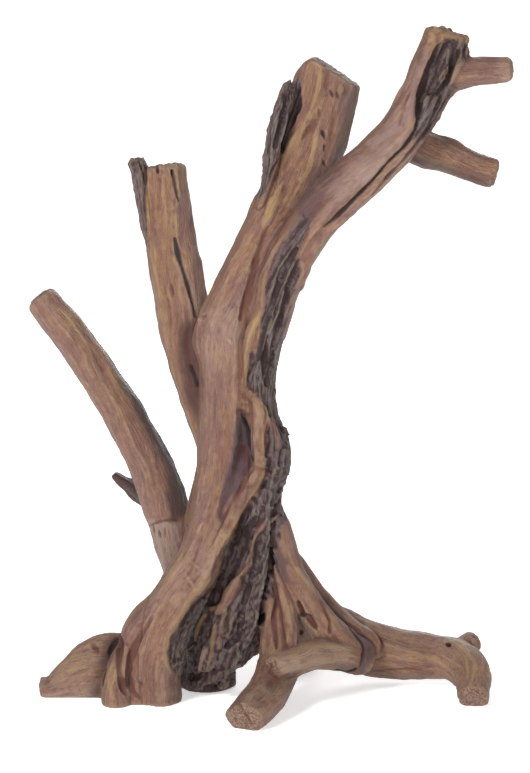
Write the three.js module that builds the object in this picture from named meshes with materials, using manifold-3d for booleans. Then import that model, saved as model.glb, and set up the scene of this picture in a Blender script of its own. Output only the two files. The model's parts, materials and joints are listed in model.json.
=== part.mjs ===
// Aquarium driftwood: a water-worn, forked piece of wood that stands on its roots.
// Two fused stems make the trunk. They part near the top into a broad stump and a long curved branch.
// Millimetres, +Z up, the front towards -Y, the floor at z = 0.

import * as THREE from "three";
import { mergeVertices } from "three/addons/utils/BufferGeometryUtils.js";
import Module from "manifold-3d";

const wasm = await Module();
wasm.setup();

// The middle of the whole outline on the floor, which becomes the origin.
const MIDDLE = { x: 0.1, y: -2.9 };
// Neighbouring pieces keep this gap.
const GAP = 0.3;
// A cut end is rounded over this length, down to this share of its radius.
const END_ROUND = { length: 1.6, share: 0.86 };
// Half the side of the blocks that trim a limb flat.
const TRIM = 400;
// A knob's widths as shares of its size, and how deep its middle is sunk.
const LUMP_SHAPE = [1, 0.8, 1.25];
const LUMP_SUNK = 0.3;

// A limb is a list of stations [x, y, z, across, deep]: its centre, half its width as seen from the
// front and half its depth. Angles round a limb start at the front and grow towards its right side.
// lobes are [count, share, angle, turn]: swellings round the limb that twist by turn over its length.
// bumps are [place along 0..1, angle, length share, angle spread, share]: knuckles and burls.
const LIMBS = {
  leftStem: {
    sides: 13,
    rings: 24,
    lobes: [
      [2, 0.03, 40, 60],
      [5, 0.035, 10, 150],
    ],
    bumps: [
      [0.545, -85, 0.03, 45, 0.2],
      [0.36, -70, 0.05, 50, 0.06],
      [0.9, 95, 0.05, 40, 0.06],
    ],
    stations: [
      [-53, -12, -4, 11, 12.5],
      [-54, -13, 18, 12, 14],
      [-50, -12, 38, 13.5, 15],
      [-41, -8, 56, 13.2, 14],
      [-32.5, -5, 72, 11.8, 14],
      [-25.5, -2, 91, 12.2, 15],
      [-20, 1, 116, 13.6, 16],
      [-19, 2, 141, 13.6, 16],
      [-19.5, 3, 166, 13, 16],
      [-20.5, 4, 186, 13.2, 16],
      [-14, 5, 206, 12.2, 15],
      [-3.5, 7, 226, 12.2, 14],
      [6, 9, 243, 13.6, 13],
      [15.5, 10, 260, 15.6, 12],
      [22, 11, 276, 16.4, 12],
      [28, 12, 298, 16.4, 12],
      [35, 12, 324, 15.4, 12],
    ],
  },
  rightStem: {
    sides: 12,
    rings: 28,
    lobes: [
      [3, 0.05, 0, 220],
      [7, 0.03, 20, 300],
    ],
    bumps: [
      [0.35, 85, 0.04, 50, 0.55],
      [0.95, -80, 0.03, 60, 0.1],
    ],
    stations: [
      [-30, 3, -3, 10, 12],
      [-23, 3, 13, 17, 14.5],
      [-18, 3, 32, 18.5, 15],
      [-13.5, 3, 48, 16, 15],
      [-8, 2, 69, 13, 14],
      [-4, 0, 90, 10.5, 13],
      [-1, -1, 111, 9.8, 12],
      [-1, -2, 131, 9.4, 12],
      [-2.8, -3, 152, 8.8, 12],
      [-1.8, -4, 172, 9, 12],
      [2.6, -6, 192, 9.6, 12],
      [8.8, -8, 212, 10.3, 12],
      [18.5, -10, 232, 11.2, 12],
      [31, -11, 249, 12, 12],
      [43.5, -10, 261, 12.2, 11.5],
      [56.5, -8, 273, 11.9, 11],
      [69, -6, 287, 11.6, 10.5],
      [77.5, -4, 301, 12, 10],
      [84.5, -3, 316, 12.2, 9.5],
      [89.5, -2, 334, 11, 9],
    ],
  },
  backStem: {
    sides: 8,
    rings: 5,
    lobes: [[3, 0.08, 0, 120]],
    stations: [
      [-30, 14, -4, 15, 12],
      [-29, 15, 20, 14, 12],
      [-29, 14, 50, 13, 12],
      [-28, 12, 80, 12, 11],
      [-24, 10, 112, 10, 9],
      [-20, 8, 140, 8, 7],
    ],
  },
  bulgeLobe: {
    sides: 9,
    rings: 7,
    stations: [
      [-49.2, -9, 51.4, 5.8, 8],
      [-57.4, -10, 43.4, 8.2, 10],
      [-64.5, -11, 32, 8.6, 11],
      [-66, -12, 16, 8.2, 11],
      [-65, -12, -4, 8, 10],
    ],
  },
  toe: {
    sides: 7,
    rings: 5,
    stations: [
      [-69, -16, 30, 4.5, 5],
      [-72, -19, 21, 6.5, 7],
      [-75, -20, 9, 7.5, 8],
      [-74, -20, -4, 7, 8],
    ],
  },
  leftRoot: {
    sides: 10,
    rings: 8,
    lobes: [[3, 0.05, 60, 40]],
    stations: [
      [-62, -3, 13, 17, 12],
      [-76, -1, 14, 18.5, 12],
      [-87, 0, 12, 16.4, 11.5],
      [-98, 0, 7.4, 11.4, 10.5],
      [-107.4, 0, 2.6, 7.2, 9],
      [-114, 0, 1.5, 6.6, 8],
    ],
  },
  rearBranch: {
    sides: 11,
    rings: 11,
    lobes: [
      [3, 0.05, 20, 60],
      [6, 0.03, 0, 90],
    ],
    stations: [
      [-20, 8, 106, 8, 8],
      [-23.4, 13, 123, 9.4, 9],
      [-29.6, 18, 143, 10.8, 10.5],
      [-35.2, 22, 163, 12.2, 11.5],
      [-40, 25, 183, 13.3, 12],
      [-43, 28, 203, 13.6, 12],
      [-46.8, 30, 224, 13, 11.5],
      [-49.3, 32, 244, 12.2, 11],
      [-51.8, 34, 266, 11.8, 10.5],
    ],
  },
  rearLedge: {
    sides: 6,
    rings: 6,
    lobes: [[2, 0.12, 30, 240]],
    stations: [
      [-55.5, 28, 222, 2, 3],
      [-58.5, 28, 233, 4, 5],
      [-61, 29, 248, 4.2, 5.5],
      [-62.5, 30, 260, 5, 6],
      [-65, 30, 270, 4.6, 5],
    ],
  },
  leftBranch: {
    sides: 11,
    rings: 16,
    lobes: [
      [3, 0.03, 80, 40],
      [7, 0.02, 0, 60],
    ],
    bumps: [[0.66, 90, 0.05, 45, 0.08]],
    stations: [
      [-30, 40, -4, 12, 14],
      [-33, 33, 15, 11.5, 13],
      [-36.5, 27, 33, 11, 12.5],
      [-40.4, 23, 51, 10.2, 12],
      [-45.4, 21, 71, 10.8, 12],
      [-51.2, 21, 93, 11.6, 12],
      [-57.8, 23, 111, 11.2, 11.5],
      [-65.8, 25, 127, 10.6, 11],
      [-74.5, 27, 143, 10.2, 10.5],
      [-84.7, 29, 158.5, 9.8, 10],
      [-94.7, 31, 173, 9.4, 9.5],
      [-105, 33, 186.5, 9.2, 9],
      [-116, 35, 200, 8.2, 8.2],
    ],
  },
  twig: {
    sides: 6,
    rings: 6,
    lobes: [[3, 0.14, 0, 90]],
    stations: [
      [-55, 28, 90, 4.5, 4],
      [-61, 31, 95, 4.4, 4],
      [-67, 34, 99, 4.6, 3.8],
      [-73, 36, 103, 3.4, 2.8],
      [-78.5, 38, 107, 2.2, 1.8],
    ],
  },
  arm: {
    sides: 11,
    rings: 16,
    lobes: [
      [3, 0.04, 10, 60],
      [6, 0.03, 30, 100],
    ],
    stations: [
      [0, 3, 96, 7, 8],
      [4.6, 8, 80, 6.9, 9],
      [12, 13, 60, 6.9, 10],
      [24.4, 17, 40.6, 8.8, 11.5],
      [38.5, 20, 27, 12.2, 13],
      [53, 21, 18.5, 14, 13],
      [70, 20, 15.5, 13, 12],
      [85, 16, 15.2, 11.6, 11],
      [97, 6, 16, 10.8, 10.5],
      [104.5, -7, 13, 10, 10],
      [104.5, -18, 8, 8, 8.6],
      [103.5, -26, 4.5, 6.8, 7.8],
    ],
  },
  armKnob: {
    sides: 6,
    rings: 4,
    stations: [
      [99, 8, 18, 6.4, 6],
      [104, 13, 21.5, 6, 5.6],
      [108, 17, 23.5, 5, 5],
    ],
  },
  frontStrand: {
    sides: 7,
    rings: 8,
    stations: [
      [3, -4, 100, 5, 5],
      [7, -4, 85, 6.5, 7],
      [13, -5, 66, 6.5, 7.5],
      [21, -6, 50, 7, 7.5],
      [31, -5, 35, 8.5, 8],
      [41, -1, 24, 9.5, 9],
      [50, 5, 17, 9.5, 9],
    ],
  },
  rearStrand: {
    sides: 6,
    rings: 8,
    stations: [
      [14, 4, 72, 3, 3.5],
      [24, 6, 55, 4.2, 4.5],
      [34, 8, 42.5, 4.6, 5],
      [45, 8, 33, 4.4, 5],
      [55, 9, 25.5, 3.8, 4],
      [58, 9, 16, 2.6, 3],
    ],
  },
  crossRoot: {
    sides: 9,
    rings: 9,
    lobes: [[3, 0.05, 0, 120]],
    stations: [
      [50, 4, 18, 9, 9],
      [43, -2, 20.5, 9, 8.5],
      [34, -9, 23, 8.4, 8],
      [23, -19, 24.5, 7.4, 7.4],
      [13, -29, 24, 7, 7],
      [3, -36, 22, 6.8, 6.6],
    ],
  },
  frontRoot: {
    sides: 10,
    rings: 11,
    lobes: [
      [3, 0.06, 30, 80],
      [5, 0.04, 0, 60],
    ],
    stations: [
      [2, 1, 64, 6.4, 8],
      [3, 0, 52, 6.6, 8],
      [5, -3, 39, 8, 8.5],
      [6.5, -8, 28, 9.4, 8.8],
      [6.2, -19, 18, 10.4, 9],
      [2.2, -36, 11, 10.2, 9],
      [-4.2, -52, 7, 9.8, 9],
      [-10.6, -66, 4.3, 9.2, 8.6],
    ],
  },
  rib: {
    sides: 5,
    rings: 6,
    stations: [
      [6, -4, 70, 2.8, 3],
      [9.5, -7, 56, 3.2, 3.5],
      [12.5, -10, 42, 3.4, 3.5],
      [13, -13, 30, 3.2, 3.5],
      [10, -16, 22, 2.6, 3],
    ],
  },
  backRoot: {
    sides: 8,
    rings: 8,
    lobes: [[3, 0.06, 0, 100]],
    stations: [
      [-6, 8, 82, 9, 8],
      [0, 15, 62, 9.5, 9],
      [7, 24, 43, 10, 9.5],
      [13, 36, 24, 10, 9.5],
      [18, 49, 9, 9.6, 9],
      [21, 61, 4, 9, 8],
    ],
  },
  upperStub: {
    sides: 9,
    rings: 6,
    lobes: [[4, 0.05, 0, 60]],
    stations: [
      [84, -3, 311, 9.5, 9],
      [92, -3, 313, 8.6, 8.2],
      [100.5, -2, 314, 7.5, 7.5],
      [110.5, -1, 314.5, 6.7, 6.7],
      [121, 0, 315, 6.4, 6.4],
    ],
  },
  lowerStub: {
    sides: 9,
    rings: 7,
    lobes: [[3, 0.04, 40, 40]],
    bumps: [[0.5, -90, 0.08, 35, 0.14]],
    stations: [
      [64, 2, 283, 9.4, 9],
      [76, 8, 277, 9.4, 9],
      [89.5, 11, 272.5, 8.5, 8.4],
      [102, 13, 267.3, 7.8, 7.8],
      [115.5, 14, 263.2, 7.2, 7.2],
    ],
  },
  barkStrip: {
    sides: 6,
    rings: 7,
    lobes: [[3, 0.12, 0, 300]],
    stations: [
      [-3, 2, 246, 2, 2.6],
      [0.5, 1, 258, 3.2, 5],
      [3, 0, 272, 4.2, 6.5],
      [5.6, 0, 287, 4.6, 7],
      [9, 1, 299, 4.4, 6.5],
      [12, 2, 308.5, 3.2, 5],
    ],
  },
};

// Ridges and cracks as seen from the front, or from the back, as places [x, z, half width]. Each
// lies on the wood behind it.
const RIDGES = {
  trunk: [
    // The strap that bounds the hollow and runs down into the swollen left foot.
    [
      [-3.5, 156, 1.8], [-0.5, 140, 3], [-2, 120, 3.6], [-10, 104, 3.9], [-20.5, 85, 3.9],
      [-27, 67, 3.6], [-37, 52, 2.6],
    ],
    // The tan edge of the dark folds.
    [[12.5, 246, 1.6], [2.5, 229, 2.6], [-5.5, 206, 2.9], [-9.5, 182, 2.6], [-9.5, 164, 1.6]],
    // Two dark folds, and the right rim of the stem.
    [[17.5, 240, 1.4], [8, 224, 2.5], [1, 202, 2.7], [-2.5, 172, 2.4], [1.5, 151, 2.6], [6, 138, 1.8]],
    [[30, 240, 1.4], [18, 222, 2.6], [9.5, 195, 2.6], [1, 168, 2.2], [5, 152, 2.6], [9, 143, 2]],
    [[33, 237, 2], [22, 221, 2.8], [13, 196, 2.6], [6, 170, 1.8]],
    // The vein in the bark and the two rims of the long pocket below it.
    [[-6, 89, 1.4], [-7, 74, 2.1], [-17.5, 53, 2.5], [-24, 35, 2.3], [-28.5, 17, 2.1]],
    [[-18, 52, 1.6], [-30, 44, 2.1], [-34, 30, 2.3], [-30.5, 17, 2.1]],
    // Folds of the swollen left foot.
    [[-39, 51, 2], [-46, 34, 3.6], [-44, 14, 3.6], [-43, 3, 2.6]],
    [[-61, 49, 1.8], [-71, 33, 2.8], [-73.5, 20, 2.8]],
    // A bark fold down the right side of the foot.
    [[1, 98, 1.8], [-1, 74, 2.8], [-5, 48, 2.8], [-10, 28, 2]],
  ],
  broad_stump: [
    [[1.5, 246, 1.8], [8, 264, 2.6], [16, 283, 3], [24, 309, 2.2]],
    [[13.5, 247, 1.3], [20, 262, 2.2], [24.5, 279, 1.6]],
  ],
  long_branch: [
    [[44, 251.5, 1.6], [61, 267, 2.4], [76.5, 287, 2.9], [89, 310, 3], [97.5, 331, 2.4]],
    [[76, 286, 1.2], [84.5, 306, 2.2], [94.5, 333, 1.8]],
  ],
  rear_branch: [[[-33, 160, 1.4], [-42, 195, 2.2], [-53, 246, 1.8]]],
};
const BACK_RIDGES = {
  trunk: [
    [[-10, 220, 1.8], [-15, 180, 3.2], [-13, 140, 3.2], [-24, 84, 3]],
    [[8, 206, 1.6], [-1, 160, 3], [-10, 100, 2.2]],
  ],
  long_branch: [[[48, 262, 1.8], [76, 298, 2.8], [86, 322, 1.8]]],
};
const CRACKS = {
  trunk: [
    // The long hollow beside the strap.
    [[-11.5, 151, 1.4], [-9, 137, 4.2], [-10, 120, 4.6], [-18, 100, 1.8]],
    // Creases between the left stem, the dark folds and the right rim.
    [[-1, 237, 1.2], [-7, 212, 2], [-12, 184, 1]],
    [[10, 236, 1.2], [-0.5, 208, 2], [-6, 172, 1.9], [-4, 155, 1.1]],
    [[19, 233, 1.1], [7, 202, 2], [-1, 165, 1.2]],
    // The crease down the swollen foot and the pocket in the bark.
    [[-50, 57, 1], [-62, 36, 1.9], [-68, 10, 1.6]],
    [[-27, 41, 1.6], [-29.5, 24, 2.2]],
  ],
  broad_stump: [
    [[27.5, 288, 0.8], [28.7, 276, 1.4], [30.5, 264, 0.8]],
  ],
  long_branch: [
    // The gash in the top, which runs out as a long split.
    [
      [94, 338, 4.2], [86, 318, 4], [79, 299, 2], [73, 284, 1.2], [57, 265, 1.1], [45, 254, 0.8],
    ],
  ],
  rear_branch: [
    [[-37.5, 187, 0.8], [-42, 204, 1.6], [-46.5, 224, 0.8]],
    [[-44.5, 248, 0.8], [-47, 272, 1.6]],
  ],
  cross_root: [[[6, 22, 1.6], [-5, 21, 3]]],
  front_root: [[[4, 46, 0.9], [6, 27, 1.6]]],
};
// Knobs of bark and burls, as places [x, z, size].
const LUMPS = {
  trunk: [
    [2.5, 141, 5], [6.5, 131, 5.8], [7.5, 119, 6.2], [4, 108, 5.6], [-24, 13, 5.6], [-12, 21, 5],
    [-40, 27, 4.6], [-34, 8, 5],
  ],
  broad_stump: [[34, 304, 3.4]],
  long_branch: [[82, 331, 4.4], [97, 329, 4.6]],
  rear_branch: [[-65, 262, 4]],
};

// A smooth curve through the stations' centres, and one through their half widths.
function curvesOf(stations) {
  const centres = stations.map(([x, y, z]) => new THREE.Vector3(x, y, z));
  const radii = stations.map(([, , , across, deep]) => new THREE.Vector3(across, deep, 0));
  return {
    path: new THREE.CatmullRomCurve3(centres, false, "catmullrom", 0.5),
    radii: new THREE.CatmullRomCurve3(radii, false, "catmullrom", 0.5),
  };
}

// How far a limb swells or shrinks at a place along it and an angle round it.
function swelling(limb, along, angle) {
  const rad = THREE.MathUtils.degToRad;
  let share = 1;
  for (const [count, size, at, turn] of limb.lobes ?? []) {
    share += size * Math.cos(count * (angle - rad(at)) - rad(turn) * along);
  }
  for (const [place, at, length, spread, size] of limb.bumps ?? []) {
    const round = Math.atan2(Math.sin(angle - rad(at)), Math.cos(angle - rad(at)));
    share += size * Math.exp(-(((along - place) / length) ** 2) - (round / rad(spread)) ** 2);
  }
  return share;
}

// A closed cylinder bent along the limb's curve, grown by a margin where a neighbour is cut with it.
function limbGeometry(limb, grow = 0) {
  const { path, radii } = curvesOf(limb.stations);
  const { sides, rings } = limb;
  const roundShare = END_ROUND.length / path.getLength();
  const facing = new THREE.Vector3(0, -1, 0);
  const frames = [];
  for (let ring = 0; ring <= rings; ring++) {
    const atEnd = ring === 0 || ring === rings;
    const inner = (ring - 1) / (rings - 2);
    const along = ring === 0 ? 0 : ring === rings ? 1 : roundShare + inner * (1 - 2 * roundShare);
    const tangent = path.getTangent(along);
    facing.addScaledVector(tangent, -facing.dot(tangent)).normalize();
    const push = ring === 0 ? -grow : ring === rings ? grow : 0;
    frames.push({
      along,
      centre: path.getPoint(along).addScaledVector(tangent, push),
      deepAxis: facing.clone(),
      acrossAxis: new THREE.Vector3().crossVectors(tangent, facing),
      half: radii.getPoint(along),
      share: atEnd ? END_ROUND.share : 1,
    });
  }
  const geometry = new THREE.CylinderGeometry(1, 1, 1, sides, rings, false);
  const position = geometry.getAttribute("position");
  for (let i = 0; i < position.count; i++) {
    const [x, y, z] = [position.getX(i), position.getY(i), position.getZ(i)];
    const frame = frames[Math.round((y + 0.5) * rings)];
    const swell = Math.hypot(x, z) > 0.5 ? swelling(limb, frame.along, Math.atan2(x, z)) : 1;
    const point = frame.centre
      .clone()
      .addScaledVector(frame.acrossAxis, x * frame.share * (frame.half.x * swell + grow))
      .addScaledVector(frame.deepAxis, z * frame.share * (frame.half.y * swell + grow));
    position.setXYZ(i, point.x, point.y, point.z);
  }
  return geometry;
}

// A closed geometry as a solid that can be joined and cut.
function solidOf(geometry) {
  const bare = geometry.clone();
  bare.deleteAttribute("normal");
  bare.deleteAttribute("uv");
  const merged = mergeVertices(bare, 1e-4);
  const mesh = new wasm.Mesh({
    numProp: 3,
    vertProperties: merged.getAttribute("position").array,
    triVerts: new Uint32Array(merged.index.array),
  });
  return new wasm.Manifold(mesh);
}

// A solid as a geometry with a point for each corner.
function geometryOf(solid) {
  const { numProp, vertProperties, triVerts } = solid.getMesh();
  const points = new Float32Array((vertProperties.length / numProp) * 3);
  for (let i = 0; i < points.length / 3; i++) {
    points.set(vertProperties.subarray(i * numProp, i * numProp + 3), i * 3);
  }
  const geometry = new THREE.BufferGeometry();
  geometry.setAttribute("position", new THREE.BufferAttribute(points, 3));
  geometry.setIndex(new THREE.BufferAttribute(new Uint32Array(triVerts), 1));
  geometry.computeVertexNormals();
  return geometry;
}

const joined = (solids) => solids.reduce((all, next) => all.add(next));
const limbSolid = (name, grow = 0) => solidOf(limbGeometry(LIMBS[name], grow));
const limbSolids = (names, grow = 0) => joined(names.map((name) => limbSolid(name, grow)));

// Everything on the far side of a plane: a large block whose near face lies on it.
function beyond(point, normal) {
  const outward = new THREE.Vector3(...normal).normalize();
  const block = new THREE.BoxGeometry(TRIM * 2, TRIM * 2, TRIM * 2);
  block.translate(0, 0, TRIM);
  block.applyQuaternion(new THREE.Quaternion().setFromUnitVectors(new THREE.Vector3(0, 0, 1), outward));
  block.translate(...point);
  return solidOf(block);
}

const FLOOR = beyond([0, 0, 0], [0, 0, -1]);

// Where a line from the front, or from the back, meets a solid: a function of x and z.
function surfaceOf(solid, fromBack = false) {
  const material = new THREE.MeshBasicMaterial({ side: THREE.DoubleSide });
  const target = new THREE.Mesh(geometryOf(solid), material);
  const side = fromBack ? 1 : -1;
  const ray = new THREE.Raycaster();
  return (x, z) => {
    ray.set(new THREE.Vector3(x, side * TRIM, z), new THREE.Vector3(0, -side, 0));
    return ray.intersectObject(target)[0]?.point.y;
  };
}

// A slim limb laid along places on a surface. A place beside the wood takes its neighbour's depth.
function strokeOn(surface, places) {
  const depths = places.map(([x, z]) => surface(x, z));
  const stations = places.map(([x, z, half], i) => {
    const depth = depths[i] ?? depths[i - 1] ?? depths[i + 1] ?? 0;
    return [x, depth, z, half, half];
  });
  return { stations, sides: 4, rings: Math.max(3, stations.length) };
}

// A knob that lies a little sunk in the wood. Its turn depends on its place, so no two look alike.
function lumpOn(surface, [x, z, size], grow) {
  const lump = new THREE.IcosahedronGeometry(size + grow);
  lump.scale(...LUMP_SHAPE);
  lump.rotateY(x);
  lump.translate(x, (surface(x, z) ?? 0) + size * LUMP_SUNK, z);
  return solidOf(lump);
}

// A node's solid with its ridges and knobs laid on and its cracks cut in. The second solid is grown
// by the gap and has no cracks: the space that its neighbours leave free.
function carved(name, body, grownBody) {
  const front = surfaceOf(body);
  const back = surfaceOf(body, true);
  const ridges = (RIDGES[name] ?? []).map((places) => strokeOn(front, places));
  const backRidges = (BACK_RIDGES[name] ?? []).map((places) => strokeOn(back, places));
  const raised = (grow) => [
    ...[...ridges, ...backRidges].map((limb) => solidOf(limbGeometry(limb, grow))),
    ...(LUMPS[name] ?? []).map((lump) => lumpOn(front, lump, grow)),
  ];
  const cracks = (CRACKS[name] ?? []).map((places) => solidOf(limbGeometry(strokeOn(front, places))));
  const whole = joined([body, ...raised(0)]);
  return {
    shaped: cracks.reduce((left, crack) => left.subtract(crack), whole),
    grown: joined([grownBody, ...raised(GAP)]),
  };
}

// The planes at the main forks, with the direction in which the branch leaves.
const FORKS = {
  broadStump: { point: [6, 9, 247], normal: [0.45, 0.1, 0.89] },
  longBranch: { point: [33, -11, 248.5], normal: [0.77, 0.02, 0.64] },
  leftBranch: { point: [-49, 21, 84], normal: [-0.25, 0.05, 0.97] },
};
// The two slopes of the stump's top, and the arch under the trunk between its feet.
const STUMP_TOP = [
  { point: [33, 12, 315.5], normal: [0.53, -0.1, 0.84] },
  { point: [21.5, 12, 319], normal: [-0.6, 0, 0.8] },
];
const TRUNK_ARCH = { point: [-44, 0, 0], normal: [0.45, 0.05, -0.89] };

// All that lies past a fork, from a gap beyond its plane.
function pastFork(name, gap) {
  const { point, normal } = FORKS[name];
  const outward = new THREE.Vector3(...normal).normalize();
  const moved = new THREE.Vector3(...point).addScaledVector(outward, gap);
  return beyond(moved.toArray(), normal);
}

// The limb's part past its fork, and its part before it.
const after = (limb, fork, grow) => limbSolid(limb, grow).intersect(pastFork(fork, GAP - grow));
const before = (limb, fork, grow) => limbSolid(limb, grow).subtract(pastFork(fork, grow));

// The two fused stems up to their forks, with the swollen foot and the arch under it.
function trunkBody(grow) {
  const arch = beyond(TRUNK_ARCH.point, TRUNK_ARCH.normal);
  const rightStem = before("rightStem", "longBranch", grow).subtract(arch);
  const leftStem = before("leftStem", "broadStump", grow);
  return joined([leftStem, rightStem, limbSolids(["backStem", "bulgeLobe", "toe"], grow)]);
}

// The stump past its fork, with its slanting top and the strip of bark on its left.
function stumpBody(grow) {
  const slab = after("leftStem", "broadStump", grow);
  const top = joined(STUMP_TOP.map(({ point, normal }) => beyond(point, normal)));
  return slab.subtract(top).add(limbSolid("barkStrip", grow));
}

// Each node's solid as a function of how far it is grown, in the order in which they claim space.
const BODIES = {
  trunk: trunkBody,
  long_branch: (grow) => after("rightStem", "longBranch", grow),
  broad_stump: stumpBody,
  back_root_left: (grow) => before("leftBranch", "leftBranch", grow),
  left_branch: (grow) => after("leftBranch", "leftBranch", grow),
  rear_branch: (grow) => limbSolids(["rearBranch", "rearLedge"], grow),
  left_root: (grow) => limbSolid("leftRoot", grow),
  right_root: (grow) => limbSolids(["arm", "frontStrand", "rearStrand", "armKnob"], grow),
  cross_root: (grow) => limbSolid("crossRoot", grow),
  front_root: (grow) => limbSolids(["frontRoot", "rib"], grow),
  back_root_right: (grow) => limbSolid("backRoot", grow),
  upper_side_stub: (grow) => limbSolid("upperStub", grow),
  lower_side_stub: (grow) => limbSolid("lowerStub", grow),
  broken_twig: (grow) => limbSolid("twig", grow),
};
const WOOD = { smooth: 0xa07b68, ochre: 0xa8835f, dark: 0x5a4a47, pale: 0xa58e84 };
const COLOURS = {
  broad_stump: WOOD.ochre,
  rear_branch: WOOD.ochre,
  back_root_left: WOOD.pale,
  cross_root: WOOD.ochre,
  broken_twig: WOOD.dark,
};

// Cuts a solid by all that its neighbours have claimed and keeps its largest body.
function cutFree(solid, claimed) {
  const free = claimed.reduce((left, taken) => left.subtract(taken), solid.subtract(FLOOR));
  const bodies = free.decompose();
  return bodies.reduce((largest, body) => (body.volume() > largest.volume() ? body : largest));
}

function buildNodes() {
  const group = new THREE.Group();
  const claimed = [];
  for (const [name, body] of Object.entries(BODIES)) {
    const { shaped, grown } = carved(name, body(0), body(GAP));
    const color = COLOURS[name] ?? WOOD.smooth;
    const material = new THREE.MeshStandardMaterial({ color, roughness: 0.85, metalness: 0 });
    const mesh = new THREE.Mesh(geometryOf(cutFree(shaped, claimed)), material);
    mesh.name = name;
    group.add(mesh);
    claimed.push(grown);
  }
  return group;
}

const driftwood = buildNodes();
driftwood.position.set(-MIDDLE.x, -MIDDLE.y, 0);

export default driftwood;
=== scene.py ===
"""The looks of the aquarium driftwood: finely carved wood in place of each solid of the frame.

The limbs follow the same centre lines as the solids, in millimetres before the shift by MIDDLE.
They are joined softly on one grid of distances, carved along lines read from the photograph, and
cut into pieces at the forks. All pieces share one wood material and the shading runs across the cuts.
"""
import json
import math

import bpy
import numpy as np
import openvdb
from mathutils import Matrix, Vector

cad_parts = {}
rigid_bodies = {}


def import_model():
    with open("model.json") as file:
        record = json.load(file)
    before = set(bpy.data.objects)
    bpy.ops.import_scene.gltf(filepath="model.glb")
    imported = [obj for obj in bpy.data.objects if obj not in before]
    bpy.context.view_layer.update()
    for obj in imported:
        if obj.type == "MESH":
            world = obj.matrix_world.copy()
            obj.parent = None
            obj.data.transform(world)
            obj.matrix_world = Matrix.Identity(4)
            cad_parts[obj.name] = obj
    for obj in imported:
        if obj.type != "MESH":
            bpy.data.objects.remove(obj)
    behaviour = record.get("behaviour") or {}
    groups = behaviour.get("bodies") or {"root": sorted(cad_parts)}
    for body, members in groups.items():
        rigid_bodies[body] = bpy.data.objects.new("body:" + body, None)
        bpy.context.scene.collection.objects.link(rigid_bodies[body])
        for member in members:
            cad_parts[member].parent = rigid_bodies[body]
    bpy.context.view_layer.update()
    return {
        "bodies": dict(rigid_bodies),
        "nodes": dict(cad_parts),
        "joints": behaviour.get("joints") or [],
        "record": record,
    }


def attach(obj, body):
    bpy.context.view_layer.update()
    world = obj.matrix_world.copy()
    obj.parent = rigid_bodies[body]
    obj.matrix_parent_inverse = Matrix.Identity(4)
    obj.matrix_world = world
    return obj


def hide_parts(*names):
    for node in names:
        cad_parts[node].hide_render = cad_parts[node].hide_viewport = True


# The photograph's frame, and the camera that took it: millimetres, degrees and pixels.
PHOTO = {"width": 530, "height": 773}
CAMERA = {"tilt": 8.0, "distance": 1200.0, "focal_px": 2400.0, "aim_height": 158.0}
SENSOR = 36.0
# The middle of the outline on the floor, as in the solids.
MIDDLE = np.array([0.1, -2.9, 0.0])
METRE = 0.001
# The grid's spacing, and how many steps each limb's distances reach.
STEP = 0.8
BAND = 8
EDGE_FILLET = 1.0
# How far the distances reach, the size of the grid, and the slab that rays from the camera cross.
REACH = STEP * BAND
TANK = 350.0
SEEN_DEPTH = 90.0
# The limbs' tubes: ring spacing, sides, and the shares of the rings that close an end.
RING_STEP = 1.5
SIDES = 48
CAP_SHARES = (0.02, 0.25, 0.5, 0.75)
# The spacing of the balls that a line on the wood is laid with.
LAY_STEP = 1.6
# A line's width at its tips as a share of its own, and the share of its length where it tapers.
TIP = 0.3
TAPER = 0.2
# How much a line's width wavers, over how many millimetres, and the fillets beside it in half
# widths, with the least of them in millimetres.
WAVER = 0.3
WAVER_LENGTH = 6.0
LINE_FILLETS = {"ridge": 0.6, "groove": 0.5, "least": 0.8}
# How far a line's paint spreads past its own round skin, in half widths.
LINE_SKIN = (0.95, 1.6)
# Knobs: how deep they sit, how far they reach, how uneven and how flat they are and the size of
# their lumps, all in radii, and their fillet in millimetres.
KNOB = {"sunk": 0.45, "reach": 1.6, "uneven": 0.35, "flat": 0.8, "lump": 0.7, "fillet": 1.5}
# The size of the lumps in a ragged end, how deep into a limb it reaches, how far the grain of two
# limbs mixes, and the least share of a limb that counts.
RAGGED_SIZE = 3.0
RAGGED_DEPTH = 5.0
BLEND = 0.7
LEAST_SHARE = 0.03
# How the grain turns round a limb, in radians for a millimetre.
TWIST = 0.006
# How far the grain wanders sideways, and over what length.
WANDER = 1.5
WANDER_LENGTH = 16.0
# The sizes of the grain's figures across, into and along a limb, and their layers of noise.
FIGURES = {
    "fibre": ([1.7, 1.7, 20], 1), "flute": ([5.5, 5.5, 48], 3), "knobby": ([2.5, 2.5, 10], 2),
    "stringy": ([2.2, 2.2, 36], 2), "patch": ([9, 9, 60], 2),
}
# How far apart the grain of one limb lies from that of the next.
LIMB_OFFSET = 100
# How squarely a face looks along its limb where the limb is broken, and how near the end it lies.
BROKEN_FACES = (0.6, 0.85)
BROKEN_REACH = 7
# How high the wood's and the bark's relief stands, in millimetres. Stringy bark loses some grit.
RELIEF = {
    "fibre": 0.2, "flute": 0.55, "swell": 0.4, "broken": 0.6, "plate": 0.5, "crack": 1.6,
    "bark_fibre": 0.35, "bark_flute": 0.3, "grit": 0.6, "grit_lost": 0.4,
}
# The sizes of the relief's swells, of broken wood and of grit, in millimetres.
SWELL_SIZE = 9
BROKEN_SIZE = 2.4
GRIT_SIZE = 2.1
# The heights over which relief sets in above the floor.
RELIEF_FROM = (0.2, 3)
# Below this height the wood stands flat on the floor.
FOOT = 0.35
# How many rounds of smoothing show what stands out finely and broadly.
FINE_TIMES = 6
BROAD_TIMES = 60
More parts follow.
